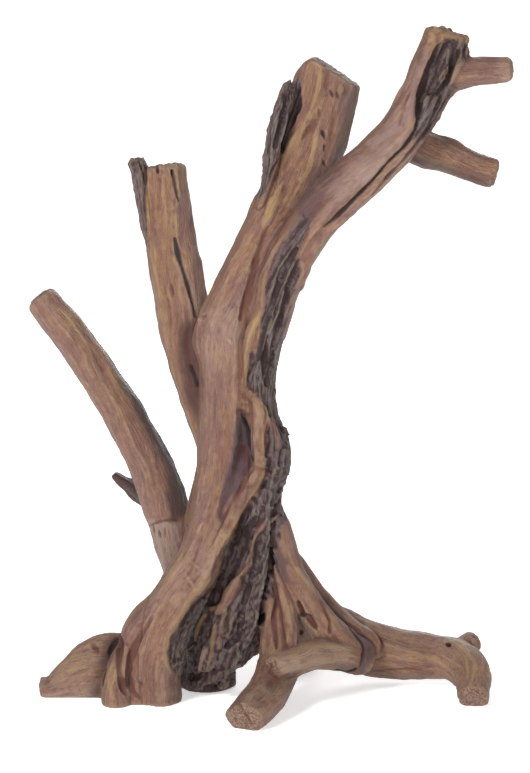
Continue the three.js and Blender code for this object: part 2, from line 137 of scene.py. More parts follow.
# How far wood stands out, in millimetres, where it counts as fully high or proud.
FULLY_HIGH = 0.16
FULLY_PROUD = 0.8
CHUNK = 20000
NOISE_TABLE = np.random.default_rng(5).uniform(-1, 1, (61, 61, 61))
# The fillets with which limbs join the wood.
FILLETS = {
    "left_stem": 5.0, "right_stem": 5.0, "back_stem": 6.0, "bulge_lobe": 4.0, "toe": 2.0,
    "rear_ledge": 1.6, "twig": 1.6, "arm_knob": 2.0, "front_strand": 1.6, "rear_strand": 1.6,
    "rib": 1.6, "bark_strip": 1.4, "cross_root": 2.0, "front_root": 2.5, "other": 3.5,
}
# How rounded and how ragged a limb's ends are, in millimetres.
ENDS = {
    "left_branch": (4.0, 0.6), "rear_branch": (1.2, 3.5), "rear_ledge": (1.0, 3.5),
    "right_stem": (2.5, 3.0), "upper_stub": (1.6, 2.0), "lower_stub": (2.2, 0.8),
    "front_root": (1.8, 1.2), "cross_root": (2.2, 2.4), "twig": (0.6, 1.5),
    "bark_strip": (1.0, 3.0), "left_root": (1.8, 1.2), "other": (2.0, 0.8),
}
# The wood's colours on a screen. Shade and purple are the colours of painted shade, and light is also
# laid on as painted light and glints.
COLOURS = {
    "tan": (174, 126, 96), "mauve": (158, 113, 104), "dusk": (104, 68, 64), "light": (212, 178, 154),
    "pale": (196, 166, 154), "ochre": (202, 166, 98), "char": (94, 82, 90), "umber": (158, 144, 142),
    "moss": (176, 168, 118), "grey": (172, 168, 156), "rust": (112, 54, 42), "shade": (88, 60, 52),
    "plum": (130, 84, 84), "purple_shade": (106, 90, 94), "black": (44, 30, 32),
}
# The paints that lie on the wood, how deep bark lies under the wood around it, in millimetres, and
# how soft and how ragged a painted place's edge is, in pixels. The light paint is mostly painted
# light, and the shade and purple paints are painted shade, partly over wood that is darker itself.
PAINTS = ("bark", "ochre", "mauve", "moss", "red", "pale", "light", "shade", "purple_shade", "dark")
BARK_DEPTH = 0.9
# Bark is knobbly up to the first height and stringy above the second, in millimetres.
KNOBBY_TO = (100.0, 140.0)
EDGES = {
    "bark": (2.0, 2.0), "purple_shade": (2.5, 1.5), "moss": (3.0, 4.0), "shade": (7.0, 2.0),
    "other": (5.0, 5.0),
}
# The size of the rags in a painted place's edge, in millimetres.
RAG_SIZE = 4
# How much a face turns to the camera where the front's paint begins, and where it is full.
FRONT = (-0.45, -0.05)
# Where bark begins and is full on the back, and how much the fibres fray it.
BACK_EDGE = (0.05, 0.4)
BACK_FRAY = 0.25
# How far wood is stained red round bark, in pixels, how strongly, and how ragged the stain is.
STAIN = (11.0, 0.5)
STAIN_RAGS = 3
# Patterns in the grain as (share along it, scale, detail, roughness).
PATTERNS = {
    "mottle": (0.35, 0.2, 3.0, 0.6), "crumbs": (0.25, 1.1, 4.0, 0.75), "threads": (0.1, 1.6, 4.0, 0.75),
    "streaks": (0.09, 0.5, 5.0, 0.65), "fibres": (0.07, 2.1, 4.0, 0.75), "hairs": (0.035, 2.4, 2.0, 0.6),
    "freckles": (0.35, 1.0, 2.0, 0.6), "glints": (0.5, 1.6, 2.0, 0.6), "bloom": (0.5, 0.12, 4.0, 0.65),
}
# The colours of worn wood over one another, with the light glints as painted highlights, as (colour,
# pattern, where the pattern starts to show and where it is full, the most that it covers).
WORN_AND_GLINT_LAYERS = [
    ("plum", "bloom", 0.48, 0.66, 0.45), ("ochre", "bloom", 0.46, 0.3, 0.35),
    ("dusk", "streaks", 0.48, 0.66, 0.32), ("light", "fibres", 0.5, 0.7, 0.42),
    ("dusk", "fibres", 0.48, 0.3, 0.45), ("rust", "hairs", 0.4, 0.32, 0.6),
    ("light", "glints", 0.64, 0.7, 0.6), ("rust", "freckles", 0.62, 0.74, 0.5),
]
# The colours that the paints give to bark, as (paint, colour, the most that it covers).
BARK_LAYERS = [
    ("mauve", "dusk", 0.6), ("pale", "pale", 0.7), ("ochre", "ochre", 0.75), ("shade", "shade", 0.5),
]
# The wood's finest relief in metres, and how rough and how shiny it is.
FINE_RELIEF = 0.0017
ROUGHNESS = (0.42, 0.62)
SHINE = 0.5
# How much light falls on wood that faces the lights, by which its colours are divided.
LIGHT_LEVEL = 1.9
WORLD_STRENGTH = 0.2
# Soft lights: place in metres, size and power.
LIGHTS = {
    "key": ((-0.9, -1.2, 1.0), 0.45, 33.0),
    "fill": ((0.9, -0.9, 0.4), 0.9, 3.0),
    "low": ((0.15, -1.1, 0.06), 0.7, 8.5),
    "back": ((0.3, 1.4, 0.7), 1.0, 16.0),
}
# The pale round floor in metres, how brightly it glows near the wood and at its edge, and how
# far from the wood it begins and ends to brighten.
FLOOR = {"radius": 3.5, "glow": 0.5, "edge_glow": 1.0, "brightens": (0.5, 1.6)}
PAPER_WHITE = 0.9
BACKDROP_RADIUS = 6.0

# Limbs as stations (x, y, z, across, deep). Lobes are (count, share, angle, turn) and bumps are
# (place along 0..1, angle, length share, angle spread, share), with angles from the front.
LIMBS = {
    "left_stem": {
        "lobes": [(2, 0.03, 40, 60), (5, 0.035, 10, 150)],
        "bumps": [(0.545, -85, 0.03, 45, 0.2), (0.36, -70, 0.05, 50, 0.06), (0.9, 95, 0.05, 40, 0.06)],
        "stations": [
            (-53, -12, -4, 11, 12.5), (-54, -13, 18, 12, 14), (-50, -12, 38, 13.5, 15),
            (-41, -8, 56, 13.2, 14), (-32.5, -5, 72, 11.8, 14), (-25.5, -2, 91, 12.2, 15),
            (-20, 1, 116, 13.6, 16), (-19, 2, 141, 13.6, 16), (-19.5, 3, 166, 13, 16),
            (-20.5, 4, 186, 13.2, 16), (-14, 5, 206, 12.2, 15), (-3.5, 7, 226, 12.2, 14),
            (6, 9, 243, 13.6, 13), (15.5, 10, 260, 15.6, 12), (22, 11, 276, 16.4, 12),
            (28, 12, 298, 16.4, 12), (35, 12, 324, 15.4, 12),
        ],
    },
    "right_stem": {
        "lobes": [(3, 0.05, 0, 220), (7, 0.03, 20, 300)],
        "bumps": [(0.35, 85, 0.04, 50, 0.55), (0.95, -80, 0.03, 60, 0.1)],
        "stations": [
            (-30, 3, -3, 10, 12), (-23, 3, 13, 17, 14.5), (-18, 3, 32, 18.5, 15),
            (-13.5, 3, 48, 16, 15), (-8, 2, 69, 13, 14), (-4, 0, 90, 10.5, 13),
            (-1, -1, 111, 9.8, 12), (-1, -2, 131, 9.4, 12), (-2.8, -3, 152, 8.8, 12),
            (-1.8, -4, 172, 9, 12), (2.6, -6, 192, 9.6, 12), (8.8, -8, 212, 10.3, 12),
            (18.5, -10, 232, 11.2, 12), (31, -11, 249, 12, 12), (43.5, -10, 261, 12.2, 11.5),
            (56.5, -8, 273, 11.9, 11), (69, -6, 287, 11.6, 10.5), (77.5, -4, 301, 12, 10),
            (84.5, -3, 316, 12.2, 9.5), (89.5, -2, 334, 11, 9),
        ],
    },
    "back_stem": {
        "lobes": [(3, 0.08, 0, 120)],
        "stations": [
            (-30, 14, -4, 15, 12), (-29, 15, 20, 14, 12), (-29, 14, 50, 13, 12),
            (-28, 12, 80, 12, 11), (-24, 10, 112, 10, 9), (-20, 8, 140, 8, 7),
        ],
    },
    "bulge_lobe": {
        "stations": [
            (-49.2, -9, 51.4, 5.8, 8), (-57.4, -10, 43.4, 8.2, 10), (-64.5, -11, 32, 8.6, 11),
            (-66, -12, 16, 8.2, 11), (-65, -12, -4, 8, 10),
        ],
    },
    "toe": {
        "stations": [
            (-69, -16, 30, 4.5, 5), (-72, -19, 21, 6.5, 7), (-75, -20, 9, 7.5, 8),
            (-74, -20, -4, 7, 8),
        ],
    },
    "left_root": {
        "lobes": [(3, 0.05, 60, 40)],
        "stations": [
            (-62, -3, 13, 17, 12), (-76, -1, 14, 18.5, 12), (-87, 0, 12, 16.4, 11.5),
            (-98, 0, 7.4, 11.4, 10.5), (-107.4, 0, 2.6, 7.2, 9), (-114, 0, 1.5, 6.6, 8),
        ],
    },
    "rear_branch": {
        "lobes": [(3, 0.05, 20, 60), (6, 0.03, 0, 90)],
        "stations": [
            (-20, 8, 106, 8, 8), (-23.4, 13, 123, 9.4, 9), (-29.6, 18, 143, 10.8, 10.5),
            (-35.2, 22, 163, 12.2, 11.5), (-40, 25, 183, 13.3, 12), (-43, 28, 203, 13.6, 12),
            (-46.8, 30, 224, 13, 11.5), (-49.3, 32, 244, 12.2, 11), (-51.8, 34, 266, 11.8, 10.5),
        ],
    },
    "rear_ledge": {
        "lobes": [(2, 0.12, 30, 240)],
        "stations": [
            (-55.5, 28, 222, 2, 3), (-58.5, 28, 233, 4, 5), (-61, 29, 248, 4.2, 5.5),
            (-62.5, 30, 260, 5, 6), (-65, 30, 270, 4.6, 5),
        ],
    },
    "left_branch": {
        "lobes": [(3, 0.03, 80, 40), (7, 0.02, 0, 60)],
        "bumps": [(0.66, 90, 0.05, 45, 0.08)],
        "stations": [
            (-30, 40, -4, 12, 14), (-33, 33, 15, 11.5, 13), (-36.5, 27, 33, 11, 12.5),
            (-40.4, 23, 51, 10.2, 12), (-45.4, 21, 71, 10.8, 12), (-51.2, 21, 93, 11.6, 12),
            (-57.8, 23, 111, 11.2, 11.5), (-65.8, 25, 127, 10.6, 11), (-74.5, 27, 143, 10.2, 10.5),
            (-84.7, 29, 158.5, 9.8, 10), (-94.7, 31, 173, 9.4, 9.5), (-105, 33, 186.5, 9.2, 9),
            (-116, 35, 200, 8.2, 8.2),
        ],
    },
    "twig": {
        "lobes": [(3, 0.14, 0, 90)],
        "stations": [
            (-55, 28, 90, 4.5, 4), (-61, 31, 95, 4.4, 4), (-67, 34, 99, 4.6, 3.8),
            (-73, 36, 103, 3.4, 2.8), (-78.5, 38, 107, 2.2, 1.8),
        ],
    },
    "arm": {
        "lobes": [(3, 0.04, 10, 60), (6, 0.03, 30, 100)],
        "stations": [
            (0, 3, 96, 7, 8), (4.6, 8, 80, 6.9, 9), (12, 13, 60, 6.9, 10),
            (24.4, 17, 40.6, 8.8, 11.5), (38.5, 20, 27, 12.2, 13), (53, 21, 18.5, 14, 13),
            (70, 20, 15.5, 13, 12), (85, 16, 15.2, 11.6, 11), (97, 6, 16, 10.8, 10.5),
            (104.5, -7, 13, 10, 10), (104.5, -18, 8, 8, 8.6), (103.5, -26, 4.5, 6.8, 7.8),
        ],
    },
    "arm_knob": {
        "stations": [
            (99, 8, 18, 6.4, 6), (104, 13, 21.5, 6, 5.6), (108, 17, 23.5, 5, 5),
        ],
    },
    "front_strand": {
        "stations": [
            (3, -4, 100, 5, 5), (7, -4, 85, 6.5, 7), (13, -5, 66, 6.5, 7.5),
            (21, -6, 50, 7, 7.5), (31, -5, 35, 8.5, 8), (41, -1, 24, 9.5, 9),
            (50, 5, 17, 9.5, 9),
        ],
    },
    "rear_strand": {
        "stations": [
            (14, 4, 72, 3, 3.5), (24, 6, 55, 4.2, 4.5), (34, 8, 42.5, 4.6, 5),
            (45, 8, 33, 4.4, 5), (55, 9, 25.5, 3.8, 4), (58, 9, 16, 2.6, 3),
        ],
    },
    "cross_root": {
        "lobes": [(3, 0.05, 0, 120)],
        "stations": [
            (50, 4, 18, 9, 9), (43, -2, 20.5, 9, 8.5), (34, -9, 23, 8.4, 8),
            (23, -19, 24.5, 7.4, 7.4), (13, -29, 24, 7, 7), (3, -36, 22, 6.8, 6.6),
        ],
    },
    "front_root": {
        "lobes": [(3, 0.06, 30, 80), (5, 0.04, 0, 60)],
        "stations": [
            (2, 1, 64, 6.4, 8), (3, 0, 52, 6.6, 8), (5, -3, 39, 8, 8.5),
            (6.5, -8, 28, 9.4, 8.8), (6.2, -19, 18, 10.4, 9), (2.2, -36, 11, 10.2, 9),
            (-4.2, -52, 7, 9.8, 9), (-10.6, -66, 4.3, 9.2, 8.6),
        ],
    },
    "rib": {
        "stations": [
            (6, -4, 70, 2.8, 3), (9.5, -7, 56, 3.2, 3.5), (12.5, -10, 42, 3.4, 3.5),
            (13, -13, 30, 3.2, 3.5), (10, -16, 22, 2.6, 3),
        ],
    },
    "back_root": {
        "lobes": [(3, 0.06, 0, 100)],
        "stations": [
            (-6, 8, 82, 9, 8), (0, 15, 62, 9.5, 9), (7, 24, 43, 10, 9.5),
            (13, 36, 24, 10, 9.5), (18, 49, 9, 9.6, 9), (21, 61, 4, 9, 8),
        ],
    },
    "upper_stub": {
        "lobes": [(4, 0.05, 0, 60)],
        "stations": [
            (84, -3, 311, 9.5, 9), (92, -3, 313, 8.6, 8.2), (100.5, -2, 314, 7.5, 7.5),
            (110.5, -1, 314.5, 6.7, 6.7), (121, 0, 315, 6.4, 6.4),
        ],
    },
    "lower_stub": {
        "lobes": [(3, 0.04, 40, 40)],
        "bumps": [(0.5, -90, 0.08, 35, 0.14)],
        "stations": [
            (64, 2, 283, 9.4, 9), (76, 8, 277, 9.4, 9), (89.5, 11, 272.5, 8.5, 8.4),
            (102, 13, 267.3, 7.8, 7.8), (115.5, 14, 263.2, 7.2, 7.2),
        ],
    },
    "bark_strip": {
        "lobes": [(3, 0.12, 0, 300)],
        "stations": [
            (-3, 2, 246, 2, 2.6), (0.5, 1, 258, 3.2, 5), (3, 0, 272, 4.2, 6.5),
            (5.6, 0, 287, 4.6, 7), (9, 1, 299, 4.4, 6.5), (12, 2, 308.5, 3.2, 5),
        ],
    },
}
# Which node each limb belongs to. A limb in FORKED changes its node past its fork.
NODE_OF = {
    "left_stem": "trunk", "right_stem": "trunk", "back_stem": "trunk", "bulge_lobe": "trunk",
    "toe": "trunk", "left_root": "left_root", "rear_branch": "rear_branch",
    "rear_ledge": "rear_branch", "left_branch": "back_root_left", "twig": "broken_twig",
    "arm": "right_root", "arm_knob": "right_root", "front_strand": "right_root",
    "rear_strand": "right_root", "cross_root": "cross_root", "front_root": "front_root",
    "rib": "front_root", "back_root": "back_root_right", "upper_stub": "upper_side_stub",
    "lower_stub": "lower_side_stub", "bark_strip": "broad_stump",
}
FORKED = {
    "left_stem": ("broad_stump", (6, 9, 247), (0.45, 0.1, 0.89)),
    "right_stem": ("long_branch", (33, -11, 248.5), (0.77, 0.02, 0.64)),
    "left_branch": ("left_branch", (-49, 21, 84), (-0.25, 0.05, 0.97)),
}
# Slopes that end a limb: the stump's top and the arch under the trunk.
TRIMS = {
    "left_stem": [((33, 12, 315.5), (0.53, -0.1, 0.84)), ((21.5, 12, 319), (-0.6, 0, 0.8))],
    "right_stem": [((-44, 0, 0), (0.45, 0.05, -0.89))],
}
# Half a millimetre to a pixel on the front of the wood.
PIXEL = 0.5
# Lines read from the photograph, as (lift, paint, share, half width, places), where a place is
# (x, y) and all are in its pixels. Lift is how far the line stands out of the wood, as a share
# of its half width, and share is how strongly the paint covers it.
RAISED = {
    "strap": (1.15, "ochre", 0.2, 7, [(256, 398), (259, 412), (258, 430), (258.5, 450), (259, 465),
        (255, 478), (248, 490), (239, 503), (232, 516), (226, 530), (218, 545), (210, 560), (203, 580),
        (192, 598)]),
    "strap_crest": (0.6, "ochre", 1, 2.2, [(260, 401), (267, 411), (265, 424), (262, 438), (263, 452),
        (264, 466), (261, 480), (251, 496), (240, 515), (229, 533), (222, 545), (217, 556)]),
    "trunk_lip": (0.6, "tan", 0, 5, [(302, 214), (285, 238), (272, 257), (264, 278), (262, 296),
        (259, 314), (252, 328), (247, 348), (245, 370), (243, 392)]),
    "trunk_lip_crest": (0.4, "ochre", 1, 2, [(266, 270), (264, 283), (262, 298), (261, 311), (254, 325),
        (249, 340), (246, 356), (246, 370), (245, 386)]),
    "pink_ridge": (0.3, "mauve", 0.9, 6, [(282, 224), (275, 237), (268, 254), (261, 271), (256, 287),
        (253, 301), (249, 318)]),
    "ochre_ridge": (0.5, "ochre", 0.6, 3, [(276, 190), (274, 204), (268, 223), (262, 238), (256, 250),
        (250, 264)]),
    "ochre_line": (0.35, "ochre", 0.8, 1.6, [(289, 201), (288, 207), (279, 217), (272, 228), (268, 240),
        (262, 254)]),
    "dark_ridge_high": (0.7, "moss", 0.3, 2, [(287, 254), (281, 262), (275, 271)]),
    "dark_ridge_long": (0.85, "moss", 0.8, 3, [(296, 257), (289, 274), (284, 288), (281, 303),
        (275, 319), (269, 330), (265, 341), (264, 351)]),
    "dark_ridge_right": (0.7, "moss", 0.45, 2.2, [(305, 260), (302, 274), (298, 284), (291, 295),
        (286, 306), (283, 320), (278, 334)]),
    "dark_ridge_low": (0.75, "moss", 0.5, 2.4, [(272, 336), (268, 351), (266, 366), (270, 380),
        (276, 393), (281, 404)]),
    "dark_ridge_left": (0.7, "moss", 0.3, 2, [(253, 370), (257, 382), (261, 395), (266, 406)]),
    "inner_rim": (0.6, "ochre", 0.4, 2.2, [(323, 224), (311, 237), (302, 249), (296, 262)]),
    "outer_rim": (0.5, "ochre", 0.2, 4, [(365, 205), (345, 220), (330, 232), (318, 247), (311, 262),
        (305, 279), (299, 296), (294, 315), (288, 338)]),
    "bark_ridge": (0.6, "mauve", 0.5, 4.2, [(268, 416), (274, 427), (278, 438), (281, 450)]),
    "vein": (1.2, "mauve", 1, 2.4, [(280, 513), (273, 520), (266, 523), (259, 531), (253, 541),
        (251, 556), (247, 568), (240, 575), (234, 584), (228, 595)]),
    "vein_foot": (0.9, "mauve", 1, 5, [(240, 577), (231, 590), (224, 604), (216, 614)]),
    "vein_crest": (0.4, "ochre", 0.9, 1.4, [(279, 514), (266, 524), (257, 533), (251, 545), (249, 560),
        (241, 574), (231, 588), (224, 602)]),
    "bark_fold": (0.8, "moss", 0.4, 4.5, [(268, 512), (268, 535), (266, 555), (263, 575), (259, 598),
        (254, 622), (250, 645)]),
    "bark_fold_middle": (0.7, "moss", 0.2, 3.3, [(248, 520), (240, 540), (233, 558), (224, 578)]),
    "bark_fold_left": (0.6, "moss", 0.2, 2.9, [(229, 548), (222, 568), (212, 590), (198, 608)]),
    "bark_fan_left": (0.7, "ochre", 0.3, 2.7, [(226, 604), (223, 619), (220, 634), (218, 650)]),
    "bark_fan_right": (0.7, "ochre", 0.2, 2.7, [(233, 606), (231, 622), (229, 637), (233, 652)]),
    "lens_rim": (0.8, "ochre", 0.9, 2.4, [(218, 606), (209, 610), (202, 618), (197, 630), (195, 643)]),
    "lens_rim_right": (0.7, "ochre", 0.5, 2.3, [(215, 622), (213, 640), (210, 657), (206, 671)]),
    "lens_heart": (0.6, "pale", 0.9, 2.8, [(206, 645), (202, 655), (200, 665), (198, 672)]),
    "foot_lip": (0.55, "ochre", 0.5, 4, [(219, 552), (217, 564), (212, 577), (203, 588), (192, 598),
        (184, 610), (176, 622), (169, 634), (165, 647), (166, 661), (171, 674)]),
    "foot_lobe": (0.35, "tan", 0, 7.5, [(157, 605), (150, 630), (143, 655), (141, 680)]),
    "wrinkle_high": (0.4, "tan", 0, 1.6, [(183, 571), (188, 578), (193, 585), (198, 593)]),
    "wrinkle_low": (0.4, "tan", 0, 1.6, [(190, 561), (199, 568), (209, 576)]),
    "stump_ridge": (0.7, "ochre", 0.75, 5, [(322, 64), (321, 79), (320, 91), (318, 107), (309, 119),
        (302, 130), (294, 141), (286, 151), (282, 163), (279, 174), (277, 187), (274, 201), (269, 214),
        (264, 227)]),
    "stump_ridge_inner": (0.5, "ochre", 0.9, 2.4, [(316, 129), (315, 144), (312, 159), (308, 172),
        (300, 181), (293, 192), (286, 204), (279, 217)]),
    "strip_ridge_left": (0.7, "moss", 0.2, 2.6, [(282, 91), (278, 121), (274, 139), (268, 159)]),
    "strip_ridge_right": (0.7, "moss", 0.35, 2, [(291, 100), (289, 116), (284, 132), (276, 160)]),
    "stump_knot": (0.7, "ochre", 0.5, 3.6, [(344, 75), (343, 82), (341, 89), (338, 95)]),
    "branch_strand": (0.4, "mauve", 0.3, 4, [(422, 134), (413, 148), (404, 158), (392, 171), (378, 186),
        (362, 200)]),
    "gash_lip": (0.5, "mauve", 0.4, 4.8, [(434, 44), (425, 58), (418, 76), (414, 94), (411, 112),
        (408, 126)]),
    "gash_ridge": (1, "moss", 0.2, 2.6, [(448, 60), (443, 70), (438, 79), (432, 91), (427, 103),
        (422, 116)]),
    "gash_ridge_right": (0.9, "moss", 0.7, 3.5, [(462, 43), (462, 57), (458, 67), (453, 77), (448, 88)]),
    "arm_strand": (0.6, "ochre", 0.6, 2.8, [(289, 558), (297, 569), (305, 580), (313, 591), (321, 602),
        (329, 613), (338, 623)]),
    "arm_lip": (0.6, "ochre", 0.7, 2.5, [(364, 624), (373, 631), (380, 640), (380, 650)]),
    "root_strand_left": (0.6, "ochre", 0.6, 3.6, [(269, 602), (267, 616), (265, 630), (264, 642),
        (263, 654)]),
    "root_strand_right": (0.6, "ochre", 0.5, 4, [(279, 588), (284, 598), (288, 609), (290, 620),
        (290, 632), (287, 644)]),
    "gap_root": (0.7, "red", 0.5, 2.6, [(299, 614), (306, 621), (314, 630)]),
    "cross_crest": (0.3, "ochre", 0.6, 3, [(282, 660), (304, 650), (328, 645), (345, 648)]),
    "branch_line": (0.25, "ochre", 0.6, 2.4, [(52, 306), (67, 317), (80, 335), (95, 352), (112, 377),
        (122, 395), (131, 413)]),
    "rear_band": (0.4, "ochre", 0.8, 3, [(149, 166), (149.5, 187), (150, 210), (152, 240), (155, 270),
        (162, 300)]),
    "rear_crust": (0.6, "ochre", 0.6, 2.4, [(163, 174), (163, 190), (165, 205), (168, 222)]),
    "left_root_ridge": (0.4, "ochre", 0.5, 3, [(56, 668), (70, 657), (85, 646), (99, 638)]),
    "toe_crest": (0.4, "ochre", 0.6, 3, [(113, 664), (109, 676), (110, 690), (114, 700)]),
    "knee_rim": (0.5, "tan", 0, 3, [(206, 311), (200, 318), (197, 327), (198, 338)]),
    "knee_scar": (0.6, "pale", 1, 1.5, [(226, 338), (230, 341), (234, 345)]),
    "knee_scar_low": (0.5, "ochre", 1, 1.3, [(226, 352), (229, 357), (228, 364)]),
}
CARVED = {
    "hollow": (0.9, "dark", 0, 6.5, [(239, 411), (243, 418), (244, 430), (243, 445), (241, 460),
        (236, 475), (230, 489), (224, 503), (220, 519)]),
    # Its black is painted shadow under the hollow's rim.
    "hollow_depth": (1.4, "dark", 1, 2.6, [(240, 413), (246, 423), (249, 434), (250, 448), (252, 463)]),
    "stem_crease": (0.9, "red", 0.8, 2.8, [(268, 226), (264, 233), (258, 251), (254, 266), (251, 281),
        (246, 297), (243, 311), (240, 322)]),
    "valley_left": (1.4, "dark", 0.6, 2.8, [(297, 246), (286, 266), (279, 281), (274, 296), (268, 313),
        (263, 332), (259, 348), (256, 362)]),
    "valley_low": (1.3, "dark", 0.6, 2.3, [(267, 344), (264, 360), (265, 374), (269, 390)]),
    "valley_right": (1.2, "dark", 0.4, 2.2, [(300, 258), (295, 274), (288, 288), (286, 300), (281, 316),
        (277, 330), (273, 350), (274, 366), (279, 382)]),
    "valley_end": (1, "red", 0.6, 1.8, [(311, 226), (305, 238), (300, 250), (296, 262)]),
    "bark_hole_high": (1.4, "dark", 1, 2.2, [(260, 489), (264, 485), (269, 480)]),
    "bark_hole_low": (1.4, "dark", 1, 2, [(252, 497), (255, 501), (256, 506)]),
    "bark_notch": (1.3, "dark", 0.8, 2.4, [(289, 487), (284, 489), (278, 491)]),
    "strap_side": (0.8, "red", 0.8, 1.8, [(251, 400), (252.5, 420), (252, 445), (253, 464), (247, 478),
        (239, 491), (231, 503), (225, 516), (219, 530), (212, 546)]),
    "bark_edge": (1.2, "dark", 0.5, 2.6, [(225, 552), (223, 563), (220, 575), (215, 586), (207, 595),
        (198, 602), (192, 610), (184, 624), (177, 637), (172, 648)]),
    "bark_cleft": (1.3, "dark", 0.5, 2.5, [(256, 515), (247, 532), (243, 549), (236, 565), (226, 585)]),
    "bark_cleft_right": (1.3, "dark", 0.6, 2.4, [(261, 533), (258, 552), (254, 575), (246, 597),
        (241, 618), (240, 640)]),
    "bark_cavity": (1.5, "dark", 1, 3.5, [(224, 649), (230, 643), (237, 639), (242, 632)]),
    "lens": (0.8, "red", 0.4, 4, [(210, 618), (208, 628), (206, 638), (204, 650)]),
    "foot_crease": (0.9, "red", 0.45, 3, [(153, 615), (145, 628), (138, 640), (132, 653), (129, 667),
        (129, 680), (133, 692), (141, 699)]),
    "toe_crease": (1.2, "red", 0.7, 3.3, [(120, 628), (120, 645), (119, 659), (119, 670), (122, 683),
        (128, 696)]),
    "foot_fold": (0.4, "mauve", 0.4, 2.6, [(156, 655), (153, 673), (155, 693)]),
    "foot_line": (0.8, "red", 0.9, 1.4, [(199, 594), (194, 600), (187, 607)]),
    "base_crease": (1.2, "red", 0.6, 2.4, [(185, 676), (197, 678), (209, 674), (222, 668)]),
    "gash_left": (1.8, "dark", 1, 3, [(440, 47), (435, 55), (429, 66), (425, 80), (421, 93), (419, 107),
        (417, 119)]),
    "gash_floor": (1.1, "dark", 0.3, 4.5, [(448, 44), (442, 56), (437, 68), (432, 80), (427, 94)]),
    "gash_right": (1.8, "dark", 1, 2.6, [(455, 44), (454, 54), (453, 65), (449, 76), (445, 86),
        (437, 97)]),
    "main_split": (1.8, "dark", 1, 1.5, [(417, 119), (416, 128), (412, 136), (406, 145), (397, 154),
        (387, 163), (375, 177), (365, 188), (354, 199), (345, 209), (335, 218), (323, 228)]),
    "second_split": (1.3, "dark", 0.7, 1.6, [(448, 86), (442, 96), (437, 108), (432, 120), (427, 132),
        (418, 143), (410, 153), (397, 167), (385, 180), (370, 197)]),
    "branch_mark": (0.7, "red", 0.5, 1.2, [(409, 90), (405, 102), (402, 114), (398, 128)]),
    "branch_line_low": (0.7, "red", 0.6, 1.3, [(335, 175), (328, 181), (321, 187)]),
    "strip_valley": (1.5, "dark", 1, 2, [(288, 86), (286, 100), (284, 114), (280, 130), (274, 150)]),
    "strip_edge": (1.2, "dark", 0.6, 1.9, [(300, 90), (297, 110), (291, 123), (286, 136), (281, 153),
        (274, 170), (266, 188)]),
    "stump_crack": (1.2, "red", 0.9, 1.3, [(300, 179), (292, 193), (285, 206), (279, 217)]),
    "stump_groove": (1, "red", 0.7, 1.8, [(313, 124), (306, 133), (301, 142)]),
    "stump_flute": (0.5, "red", 0.3, 3, [(334, 105), (331, 130), (326, 155), (318, 178)]),
    "worm_hole": (1.6, "dark", 1, 1.7, [(320, 129), (323, 132), (325.5, 136), (324, 141)]),
    "worm_hole_middle": (1.6, "dark", 1, 1.3, [(324, 143), (323, 147), (324, 153)]),
    "worm_hole_low": (1.5, "dark", 1, 1.3, [(322, 158), (323, 163), (326, 168)]),
    "stump_line": (1, "red", 0.8, 1.3, [(319, 107), (320, 114), (321, 122)]),
    "stump_nick": (1.2, "dark", 0.8, 1.2, [(329, 88), (332, 93), (333, 99)]),
    "stump_nick_right": (1.2, "red", 0.9, 1.1, [(335, 90), (337, 95), (339, 100)]),
    "ledge_edge": (1, "dark", 0.5, 1.8, [(146, 164), (145.5, 190), (145, 215), (147, 244)]),
    "rear_crack_high": (1.3, "dark", 0.9, 1.6, [(169, 164), (174, 176), (175, 187), (179, 204)]),
    "rear_crack": (1.5, "dark", 1, 2.2, [(174, 236), (177, 250), (180, 262), (184, 274), (188, 287),
        (192, 302), (196, 319)]),
    "rear_line": (0.8, "red", 0.6, 1.3, [(171, 282), (171.5, 290), (173, 300)]),
    "rear_notch": (1.3, "dark", 0.8, 1.7, [(157, 162), (157.5, 168), (158, 176)]),
    # The red and black of the next two lines are painted shadow, cast by the rear branch's knuckle.
    "rear_recess": (0.8, "red", 0.4, 4, [(188, 328), (186, 342), (187, 358), (190, 372), (192, 388)]),
    "rear_shadow_slot": (1.6, "dark", 1, 3, [(190, 364), (194, 376), (198, 388)]),
    "left_root_cleft": (1.4, "dark", 0.7, 3.5, [(117, 637), (114, 646), (110, 656), (106, 666),
        (103, 676), (102, 687)]),
    "left_root_scar": (0.6, "red", 0.5, 3, [(91, 641), (94, 648), (100, 654)]),
    "left_root_end": (0.8, "red", 0.7, 1.3, [(42, 685), (46, 682), (50, 680)]),
    "branch_seam": (0.8, "red", 0.6, 1.5, [(149, 526), (157, 522.5), (166, 520), (176, 520), (185, 523),
        (192, 529)]),
    "seam_hole": (1.3, "red", 1, 1.5, [(153, 523), (155, 529), (154, 535)]),
    "seam_hole_low": (1.3, "dark", 0.7, 1.1, [(158, 527), (161, 533), (160, 540)]),
    "seam_hole_right": (1.2, "red", 0.9, 1.1, [(164, 526), (166, 532), (165, 539)]),
    "root_groove": (1.3, "red", 0.9, 2.2, [(276, 592), (278, 602), (274, 613), (274, 627), (276, 639),
        (277, 651)]),
    "root_gap": (1.7, "red", 1, 3, [(297, 601), (301, 611), (304, 626), (302, 636)]),
    "root_gap_right": (1.6, "red", 1, 2.8, [(305, 613), (311, 622), (318, 631)]),
    "arm_line": (1.2, "red", 0.9, 1.6, [(318, 595), (323, 606), (328, 616), (331, 626), (329, 635)]),
    "arm_line_right": (1, "red", 0.9, 1.5, [(343, 620), (353, 627), (363, 632)]),
    "band_edge": (1, "dark", 0.6, 1.9, [(333, 612), (345, 624), (356, 636), (364, 645), (363, 656),
        (360, 668)]),
    "arm_red_line": (0.7, "red", 0.8, 1.4, [(371, 671), (390, 670), (407, 668), (424, 669)]),
    "arm_hole": (1.6, "dark", 1, 1.9, [(445, 643), (448, 644.5), (451, 646)]),
    "cross_under": (1.4, "dark", 1, 2.6, [(334, 669), (345, 673), (358, 668)]),
    "cut_arc": (0.8, "red", 0.7, 1.3, [(237, 703), (245, 712), (253, 726)]),
}
